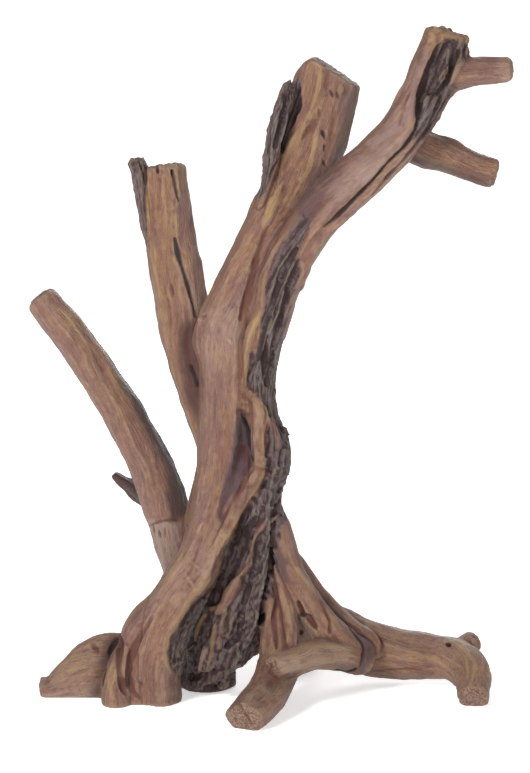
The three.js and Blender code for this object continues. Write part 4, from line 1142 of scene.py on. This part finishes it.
def normals_of(points, quads):
    """The surface's direction at each point."""
    across = points[quads[:, 2]] - points[quads[:, 0]]
    up = points[quads[:, 3]] - points[quads[:, 1]]
    facing = np.cross(across, up)
    total = np.zeros_like(points)
    for axis in range(3):
        total[:, axis] = np.bincount(quads.ravel(), np.repeat(facing[:, axis], 4), len(points))
    return unit(total)


def smoothed(values, quads, times):
    """Values averaged with their neighbours' a number of times."""
    start = quads.ravel()
    end = np.roll(quads, -1, axis=1).ravel()
    count = np.maximum(np.bincount(start, minlength=len(values)), 1)[:, None]
    for _ in range(times):
        total = np.stack([np.bincount(start, column[end], len(values)) for column in values.T], axis=1)
        values = 0.5 * values + 0.5 * total / count
    return values


def polygon_depth(corners, places):
    """How far inside an outline places lie, and below zero outside it."""
    corners = np.array(corners, float)
    nearest = np.full(len(places), np.inf)
    inside = np.zeros(len(places), bool)
    for start, end in zip(corners, np.roll(corners, -1, axis=0)):
        edge = end - start
        offset = places - start
        share = np.clip(offset @ edge / (edge @ edge), 0, 1)
        nearest = np.minimum(nearest, np.linalg.norm(offset - share[:, None] * edge, axis=1))
        crosses = (start[1] > places[:, 1]) != (end[1] > places[:, 1])
        level = edge[1] if abs(edge[1]) > 1e-9 else 1e-9
        inside ^= crosses & (places[:, 0] < start[0] + (places[:, 1] - start[1]) * edge[0] / level)
    return np.where(inside, nearest, -nearest)


def near_line(points, line, half):
    """1 on the round line's own skin and 0 a little past it."""
    finer = np.linspace(0, len(line) - 1, 3 * len(line) - 2)
    line = np.stack([np.interp(finer, np.arange(len(line)), column) for column in line.T], axis=1)
    half = np.interp(finer, np.arange(len(half)), half)
    share = np.zeros(len(points))
    margin = 2.2 * half.max()
    close = ((points > line.min(0) - margin) & (points < line.max(0) + margin)).all(axis=1)
    index = np.flatnonzero(close)
    for start in range(0, len(index), CHUNK):
        rows = index[start:start + CHUNK]
        gaps = np.linalg.norm(points[rows, None] - line[None], axis=2) / half
        share[rows] = 1 - smooth_step(*LINE_SKIN, gaps.min(axis=1))
    return share


def limb_shares(own, points):
    """How much of each limb is in the wood at each point."""
    gaps = np.stack([block.sample(points) for block in own.values()])
    shares = np.exp(-(gaps - gaps.min(axis=0)) / BLEND)
    shares[shares < LEAST_SHARE] = 0
    return shares / shares.sum(axis=0)


def wood_figure(limbs, shares, points, normals):
    """Grain in each limb's own straightened frame, mixed where limbs meet."""
    figure = {key: np.zeros(len(points)) for key in ("fibre", "flute", "scale", "patch", "cap")}
    figure["grain"] = np.zeros((len(points), 3))
    strongest = shares.argmax(axis=0)
    wander = WANDER * np.stack([noise(points / WANDER_LENGTH + 40 * k) for k in range(2)], axis=1)
    stringy = smooth_step(*KNOBBY_TO, points[:, 2])
    for i, limb in enumerate(limbs.values()):
        rows = np.flatnonzero(shares[i] > 0)
        if not len(rows):
            continue
        straight, tangent = limb.straightened(points[rows])
        across, deep, along = straight.T
        turn = along * TWIST
        frame = np.stack([
            across * np.cos(turn) - deep * np.sin(turn) + wander[rows, 0],
            across * np.sin(turn) + deep * np.cos(turn) + wander[rows, 1],
            along + LIMB_OFFSET * i,
        ], axis=1)
        drawn = {key: layered(frame / size, layers) for key, (size, layers) in FIGURES.items()}
        drawn["scale"] = drawn["knobby"] + stringy[rows] * (drawn["stringy"] - drawn["knobby"])
        to_end = np.minimum(along, limb.length - along)
        faces = np.abs((tangent * normals[rows]).sum(axis=1))
        drawn["cap"] = smooth_step(*BROKEN_FACES, faces) * (to_end < BROKEN_REACH)
        for key in ("fibre", "flute", "scale", "patch", "cap"):
            figure[key][rows] += shares[i, rows] * drawn[key]
        strong = strongest[rows] == i
        figure["grain"][rows[strong]] = frame[strong]
    return figure


def paints(limbs, shares, points, normals, figure, lines):
    """How much of each paint there is at each point."""
    paint = {key: np.zeros(len(points)) for key in PAINTS}
    places = pixels_of(points)
    _, ahead = seen_ray(places)
    facing = -(normals * unit(ahead)).sum(axis=1)
    front = smooth_step(*FRONT, facing)
    ragged = layered(points / RAG_SIZE, 2) + figure["fibre"]
    names = list(limbs)
    for kind, owners, share, corners in PAINTED.values():
        carried = sum(shares[names.index(owner)] for owner in owners)
        depth = polygon_depth(corners, places)
        soft, loose = EDGES.get(kind, EDGES["other"])
        amount = share * smooth_step(-soft, soft, depth + loose * ragged) * front * carried
        paint[kind] = np.maximum(paint[kind], amount)
        if kind in ("bark", "purple_shade"):
            stain = STAIN[1] * smooth_step(-STAIN[0], 0, depth + STAIN_RAGS * ragged) * front * carried
            paint["red"] = np.maximum(paint["red"], stain)
    amount = sum(share * BACK_BARK.get(name, BACK_BARK["other"]) for name, share in zip(names, shares))
    backs = smooth_step(*BACK_EDGE, figure["patch"] + BACK_FRAY * figure["fibre"] + amount - 0.5)
    paint["bark"] = np.maximum(paint["bark"], backs * (1 - front) * np.minimum(1, 1.5 * amount))
    for kind, share, line, half in lines:
        if share:
            amount = share * near_line(points, line, half)
            paint[kind] = np.maximum(paint[kind], amount)
            if kind in ("ochre", "pale", "mauve"):
                paint["bark"] *= 1 - amount
    return paint


def shaped_surface(points, quads, limbs, own, lines):
    """The surface with grain, bark and broken ends raised on it, and its paints."""
    normals = normals_of(points, quads)
    shares = limb_shares(own, points)
    figure = wood_figure(limbs, shares, points, normals)
    paint = paints(limbs, shares, points, normals, figure, lines)
    bark, cap = paint["bark"], figure["cap"]
    fibre, flute = figure["fibre"], figure["flute"]
    smooth = RELIEF["fibre"] * fibre + RELIEF["flute"] * flute
    smooth += RELIEF["swell"] * layered(points / SWELL_SIZE, 3)
    rough = (RELIEF["plate"] - RELIEF["crack"] * np.abs(figure["scale"])
             + RELIEF["bark_fibre"] * fibre + RELIEF["bark_flute"] * flute)
    grit = RELIEF["grit"] - RELIEF["grit_lost"] * smooth_step(*KNOBBY_TO, points[:, 2])
    rough += grit * noise(points / GRIT_SIZE) - BARK_DEPTH
    broken = RELIEF["broken"] * layered(points / BROKEN_SIZE, 2)
    height = (1 - bark) * smooth + bark * rough
    height = (1 - cap) * height + cap * broken
    height *= smooth_step(*RELIEF_FROM, points[:, 2])
    points = points + normals * height[:, None]
    points[points[:, 2] < FOOT, 2] = 0
    normals = normals_of(points, quads)
    fine = ((points - smoothed(points, quads, FINE_TIMES)) * normals).sum(axis=1)
    broad = ((points - smoothed(points, quads, BROAD_TIMES)) * normals).sum(axis=1)
    paint["high"] = np.clip(fine / FULLY_HIGH, -1, 1)
    paint["proud"] = np.clip(broad / FULLY_PROUD, -1, 1)
    paint["cap"] = cap
    return points, normals, shares, figure["grain"], paint


def node_numbers(names, shares, points, quads):
    """The node that each face belongs to."""
    nodes = sorted(set(NODE_OF.values()) | {fork[0] for fork in FORKED.values()})
    middles = points[quads].mean(axis=1)
    owner = shares[:, quads].sum(axis=2).argmax(axis=0)
    number = np.array([nodes.index(NODE_OF[name]) for name in names])[owner]
    for name, (node, point, normal) in FORKED.items():
        past = (middles - np.array(point)) @ unit(np.array(normal, float)) > 0
        number[past & (owner == names.index(name))] = nodes.index(node)
    return nodes, number


def border_loops(quads):
    """The closed lines of edges that only one face uses, in the order the faces go round them."""
    start = quads.ravel()
    end = np.roll(quads, -1, axis=1).ravel()
    forward = set(zip(start.tolist(), end.tolist()))
    leaving = {}
    for a, b in forward:
        if (b, a) not in forward:
            leaving.setdefault(a, []).append(b)
    loops = []
    while leaving:
        first = next(iter(leaving))
        loop = [first]
        while True:
            here = loop[-1]
            after = leaving[here].pop()
            if not leaving[here]:
                del leaving[here]
            if after == first:
                break
            loop.append(after)
        loops.append(loop)
    return loops


def close_cuts(quads, places):
    """The faces with a fan of triangles over each cut, as the corners of all faces, each face's
    first corner and its count, the places with the fans' middles, and which point each is like."""
    corners = quads.ravel().tolist()
    starts = list(range(0, len(corners), 4))
    totals = [4] * len(quads)
    like = list(range(len(places)))
    for loop in border_loops(quads):
        middle = len(places)
        like.append(loop[0])
        places = np.vstack([places, places[loop].mean(axis=0)[None]])
        for a, b in zip(loop, loop[1:] + loop[:1]):
            starts.append(len(corners))
            totals.append(3)
            corners += [b, a, middle]
    return corners, starts, totals, places, like


def bare_mesh(name, corners, starts, totals, places):
    """A mesh without paints, in metres, from places in millimetres."""
    mesh = bpy.data.meshes.new(name)
    mesh.vertices.add(len(places))
    mesh.vertices.foreach_set("co", ((places - MIDDLE) * METRE).ravel())
    mesh.loops.add(len(corners))
    mesh.loops.foreach_set("vertex_index", corners)
    mesh.polygons.add(len(starts))
    mesh.polygons.foreach_set("loop_start", starts)
    mesh.polygons.foreach_set("loop_total", totals)
    mesh.update(calc_edges=True)
    mesh.validate()
    return mesh


def make_piece(node, quads, points, normals, grain, paint, material):
    """One piece of the wood: its faces, closed where it was cut, with its paints."""
    used, local = np.unique(quads, return_inverse=True)
    *faces, like = close_cuts(local.reshape(quads.shape), points[used])
    mesh = bare_mesh(node, *faces)
    rows = used[like]
    for key, values in paint.items():
        layer = mesh.attributes.new(key, "FLOAT", "POINT")
        layer.data.foreach_set("value", values[rows].astype(np.float32))
    layer = mesh.attributes.new("grain", "FLOAT_VECTOR", "POINT")
    layer.data.foreach_set("vector", grain[rows].astype(np.float32).ravel())
    mesh.polygons.foreach_set("use_smooth", [True] * len(mesh.polygons))
    mesh.normals_split_custom_set_from_vertices(normals[rows])
    mesh.materials.append(material)
    piece = bpy.data.objects.new(node + "_wood", mesh)
    bpy.context.scene.collection.objects.link(piece)
    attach(piece, "root")
    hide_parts(node)


def linear(name):
    """A screen colour from the table as the linear colour that a shader takes."""
    def one(value):
        share = value / 255
        return share / 12.92 if share <= 0.04045 else ((share + 0.055) / 1.055) ** 2.4
    return (*(one(value) / LIGHT_LEVEL for value in COLOURS[name]), 1)


class Nodes:
    """Short calls for building a material's nodes."""

    def __init__(self, material):
        material.use_nodes = True
        self.tree = material.node_tree
        self.tree.nodes.clear()
        self.patterns = {}

    def make(self, kind, inputs=None, **settings):
        """A node with its inputs set to values or linked to sockets."""
        node = self.tree.nodes.new(kind)
        for key, value in settings.items():
            setattr(node, key, value)
        for key, value in (inputs or {}).items():
            if isinstance(value, bpy.types.NodeSocket):
                self.tree.links.new(value, node.inputs[key])
            else:
                node.inputs[key].default_value = value
        return node

    def paint(self, name):
        """How much of a paint there is."""
        return self.make("ShaderNodeAttribute", attribute_name=name).outputs["Fac"]

    def pattern(self, name):
        """A pattern of the table in the grain's own frame, made once for each material."""
        if name not in self.patterns:
            along, scale, detail, rough = PATTERNS[name]
            grain = self.make("ShaderNodeAttribute", attribute_name="grain").outputs["Vector"]
            placed = self.make("ShaderNodeMapping", {"Vector": grain, "Scale": (1, 1, along)})
            self.patterns[name] = self.make("ShaderNodeTexNoise", {
                "Vector": placed.outputs["Vector"], "Scale": scale, "Detail": detail, "Roughness": rough,
            }).outputs["Fac"]
        return self.patterns[name]

    def times(self, first, second):
        """Two values multiplied."""
        return self.make("ShaderNodeMath", {0: first, 1: second}, operation="MULTIPLY").outputs[0]

    def plus(self, first, second, clamp=False):
        """Two values added, and kept from 0 to 1 where clamp is set."""
        return self.make("ShaderNodeMath", {0: first, 1: second}, operation="ADD",
                         use_clamp=clamp).outputs[0]

    def between(self, value, low, high):
        """0 at low and 1 at high, with a soft rise."""
        return self.make("ShaderNodeMapRange", {
            "Value": value, "From Min": low, "From Max": high, "To Min": 0.0, "To Max": 1.0,
        }, interpolation_type="SMOOTHSTEP").outputs["Result"]

    def mix(self, share, first, second):
        """The second colour over the first, either as a colour's name or as a socket."""
        node = self.make("ShaderNodeMix", {"Factor": share}, data_type="RGBA")
        for socket, value in ((node.inputs[6], first), (node.inputs[7], second)):
            if isinstance(value, str):
                socket.default_value = linear(value)
            else:
                self.tree.links.new(value, socket)
        return node.outputs[2]

    def cover(self, under, over, where, most):
        """One colour over another where a pattern or paint lies, at most by a share."""
        return self.mix(self.times(where, most), under, over)


def smooth_color(n):
    """Worn wood: mauve and tan in long soft streaks, dusted with ochre where it stands out, with painted
    light, glints and shade laid over it.
    """
    mottle, crumbs = n.pattern("mottle"), n.pattern("crumbs")
    high, proud = n.paint("high"), n.paint("proud")
    rosy = n.plus(n.times(n.paint("mauve"), 0.6), n.times(n.between(mottle, 0.42, 0.64), 0.55), True)
    color = n.mix(rosy, "tan", "mauve")
    # Painted light where the light paint lies, besides the upper stub's pale end.
    color = n.cover(color, "light", n.paint("light"), n.between(crumbs, 0.2, 0.6))
    for name, pattern, low, full, most in WORN_AND_GLINT_LAYERS:
        color = n.cover(color, name, n.between(n.pattern(pattern), low, full), most)
    color = n.cover(color, "pale", n.paint("pale"), n.between(mottle, 0.2, 0.6))
    # Lighter on fine crests: dry-brushed paint, partly a painted highlight.
    color = n.cover(color, "light", n.between(high, 0.1, 1.0), 0.35)
    dusted = n.plus(n.times(n.paint("ochre"), 0.75), n.times(high, 0.35))
    dusted = n.plus(dusted, n.times(proud, 0.15))
    dusted = n.plus(dusted, n.times(n.between(crumbs, 0.3, 0.7), 0.4))
    dusted = n.times(n.between(dusted, 0.5, 1.4), n.between(crumbs, 0.34, 0.62))
    color = n.cover(color, "ochre", dusted, 0.85)
    crumbled = n.mix(n.between(crumbs, 0.56, 0.44), "light", "rust")
    color = n.cover(color, crumbled, n.paint("cap"), 0.55)
    # Painted shade where the shade and purple paints lie.
    color = n.cover(color, "shade", n.paint("shade"), n.between(mottle, -0.2, 0.4))
    color = n.cover(color, "purple_shade", n.paint("purple_shade"), n.between(mottle, 0.0, 0.4))
    # Darker and redder where the wood sinks in: a wash in its hollows, partly painted shade.
    sunk = n.between(n.plus(n.times(high, -0.7), n.times(proud, -0.5)), 0.15, 1.0)
    return n.cover(color, "rust", sunk, 0.6)


def bark_color(n):
    """Bark: dark mauve brown, black in its cracks, with grey green on its thin edges."""
    crumbs, high = n.pattern("crumbs"), n.paint("high")
    color = n.mix(n.between(crumbs, 0.3, 0.7), "char", "umber")
    flecks = n.plus(n.times(high, 0.7), n.times(n.paint("proud"), 0.3))
    flecks = n.plus(flecks, n.times(n.paint("moss"), 0.6))
    mossy = n.mix(n.between(crumbs, 0.46, 0.66), "grey", "moss")
    color = n.cover(color, mossy, n.between(flecks, 0.25, 1.1), n.between(crumbs, 0.3, 0.6))
    for paint, name, most in BARK_LAYERS:
        color = n.cover(color, name, n.paint(paint), most)
    # Black in the bark's fine valleys: its dark paint, partly painted shade.
    return n.cover(color, "black", n.between(n.times(high, -1.0), 0.1, 1.0), 0.85)


def wood_material():
    """Water-worn wood with bark in its folds."""
    material = bpy.data.materials.new("worn_wood")
    n = Nodes(material)
    bark = n.paint("bark")
    color = n.mix(bark, smooth_color(n), bark_color(n))
    # Rust where the red paint lies: stains by the bark and in grooves, and painted shadow in the rear
    # recess.
    color = n.cover(color, "rust", n.paint("red"), 0.6)
    # Black where the dark paint lies: cracks, and painted shadow under the hollow's rim and behind the
    # rear branch.
    color = n.cover(color, "black", n.paint("dark"), n.plus(n.times(bark, -0.4), 0.9))
    height = n.plus(n.pattern("threads"), n.times(n.pattern("crumbs"), n.plus(bark, 0.4)))
    bump = n.make("ShaderNodeBump", {"Height": height, "Strength": 1.0, "Distance": FINE_RELIEF})
    rough = n.make("ShaderNodeMapRange", {
        "Value": n.pattern("mottle"), "To Min": ROUGHNESS[0], "To Max": ROUGHNESS[1],
    })
    shader = n.make("ShaderNodeBsdfPrincipled", {
        "Base Color": color, "Roughness": rough.outputs["Result"], "Normal": bump.outputs["Normal"],
        "Specular IOR Level": SHINE,
    })
    n.make("ShaderNodeOutputMaterial", {"Surface": shader.outputs["BSDF"]})
    return material


def glowing_material(name, glow):
    """White paper that glows evenly, or without a glow given, more and more away from the wood."""
    material = bpy.data.materials.new(name)
    n = Nodes(material)
    if glow is None:
        place = n.make("ShaderNodeTexCoord").outputs["Object"]
        away = n.make("ShaderNodeVectorMath", {0: place}, operation="LENGTH").outputs["Value"]
        glow = n.make("ShaderNodeMapRange", {
            "Value": away, "From Min": FLOOR["brightens"][0], "From Max": FLOOR["brightens"][1],
            "To Min": FLOOR["glow"], "To Max": FLOOR["edge_glow"],
        }).outputs["Result"]
    shader = n.make("ShaderNodeBsdfPrincipled", {
        "Base Color": (PAPER_WHITE, PAPER_WHITE, PAPER_WHITE, 1), "Roughness": 0.9,
        "Emission Color": (1, 1, 1, 1), "Emission Strength": glow,
    })
    n.make("ShaderNodeOutputMaterial", {"Surface": shader.outputs["BSDF"]})
    return material


def add_floor():
    """A round floor under the wood."""
    bpy.ops.mesh.primitive_circle_add(vertices=96, radius=FLOOR["radius"], fill_type="NGON")
    floor = bpy.context.object
    floor.name = "floor"
    floor.data.materials.append(glowing_material("floor_paper", None))


def add_backdrop():
    """A pale dome that only the camera sees, so that all sides have the same background."""
    bpy.ops.mesh.primitive_uv_sphere_add(radius=BACKDROP_RADIUS)
    dome = bpy.context.object
    dome.name = "backdrop"
    dome.data.materials.append(glowing_material("backdrop_paper", FLOOR["edge_glow"]))
    for ray in ("diffuse", "glossy", "transmission", "volume_scatter", "shadow"):
        setattr(dome, "visible_" + ray, False)


def add_light(name, place, size, energy):
    """A square soft light that shines at the middle of the wood."""
    data = bpy.data.lights.new(name, "AREA")
    data.size = size
    data.energy = energy
    light = bpy.data.objects.new(name, data)
    light.location = place
    aim = Vector((0, 0, CAMERA["aim_height"] * METRE)) - light.location
    light.rotation_euler = aim.to_track_quat("-Z", "Y").to_euler()
    bpy.context.scene.collection.objects.link(light)


def add_world():
    """Even white light from all around."""
    world = bpy.data.worlds.new("studio")
    world.use_nodes = True
    background = world.node_tree.nodes["Background"]
    background.inputs["Color"].default_value = (1, 1, 1, 1)
    background.inputs["Strength"].default_value = WORLD_STRENGTH
    bpy.context.scene.world = world


def add_camera():
    """The camera that took the photograph."""
    data = bpy.data.cameras.new("camera")
    data.sensor_fit = "VERTICAL"
    data.sensor_height = SENSOR
    data.lens = CAMERA["focal_px"] * SENSOR / PHOTO["height"]
    camera = bpy.data.objects.new("camera", data)
    tilt = math.radians(CAMERA["tilt"])
    away = CAMERA["distance"] * METRE
    camera.location = (-MIDDLE[0] * METRE, -away * math.cos(tilt) - MIDDLE[1] * METRE,
                       CAMERA["aim_height"] * METRE + away * math.sin(tilt))
    camera.rotation_euler = (math.pi / 2 - tilt, 0, 0)
    bpy.context.scene.collection.objects.link(camera)
    bpy.context.scene.camera = camera


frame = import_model()
all_limbs = {limb_name: Limb(limb_name) for limb_name in LIMBS}
wood, limb_blocks, wood_lines = carved_wood(all_limbs)
raw_points, raw_quads = largest_body(*wood.surface())
surface = shaped_surface(raw_points, raw_quads, all_limbs, limb_blocks, wood_lines)
wood_points, wood_normals, wood_shares, wood_grain, wood_paint = surface
node_names, face_nodes = node_numbers(list(all_limbs), wood_shares, wood_points, raw_quads)
worn = wood_material()
for node_index, node_name in enumerate(node_names):
    own_faces = raw_quads[face_nodes == node_index]
    make_piece(node_name, own_faces, wood_points, wood_normals, wood_grain, wood_paint, worn)
add_floor()
add_backdrop()
add_world()
for light_name, light in LIGHTS.items():
    add_light(light_name, *light)
add_camera()
bpy.context.scene.view_settings.view_transform = "Standard"
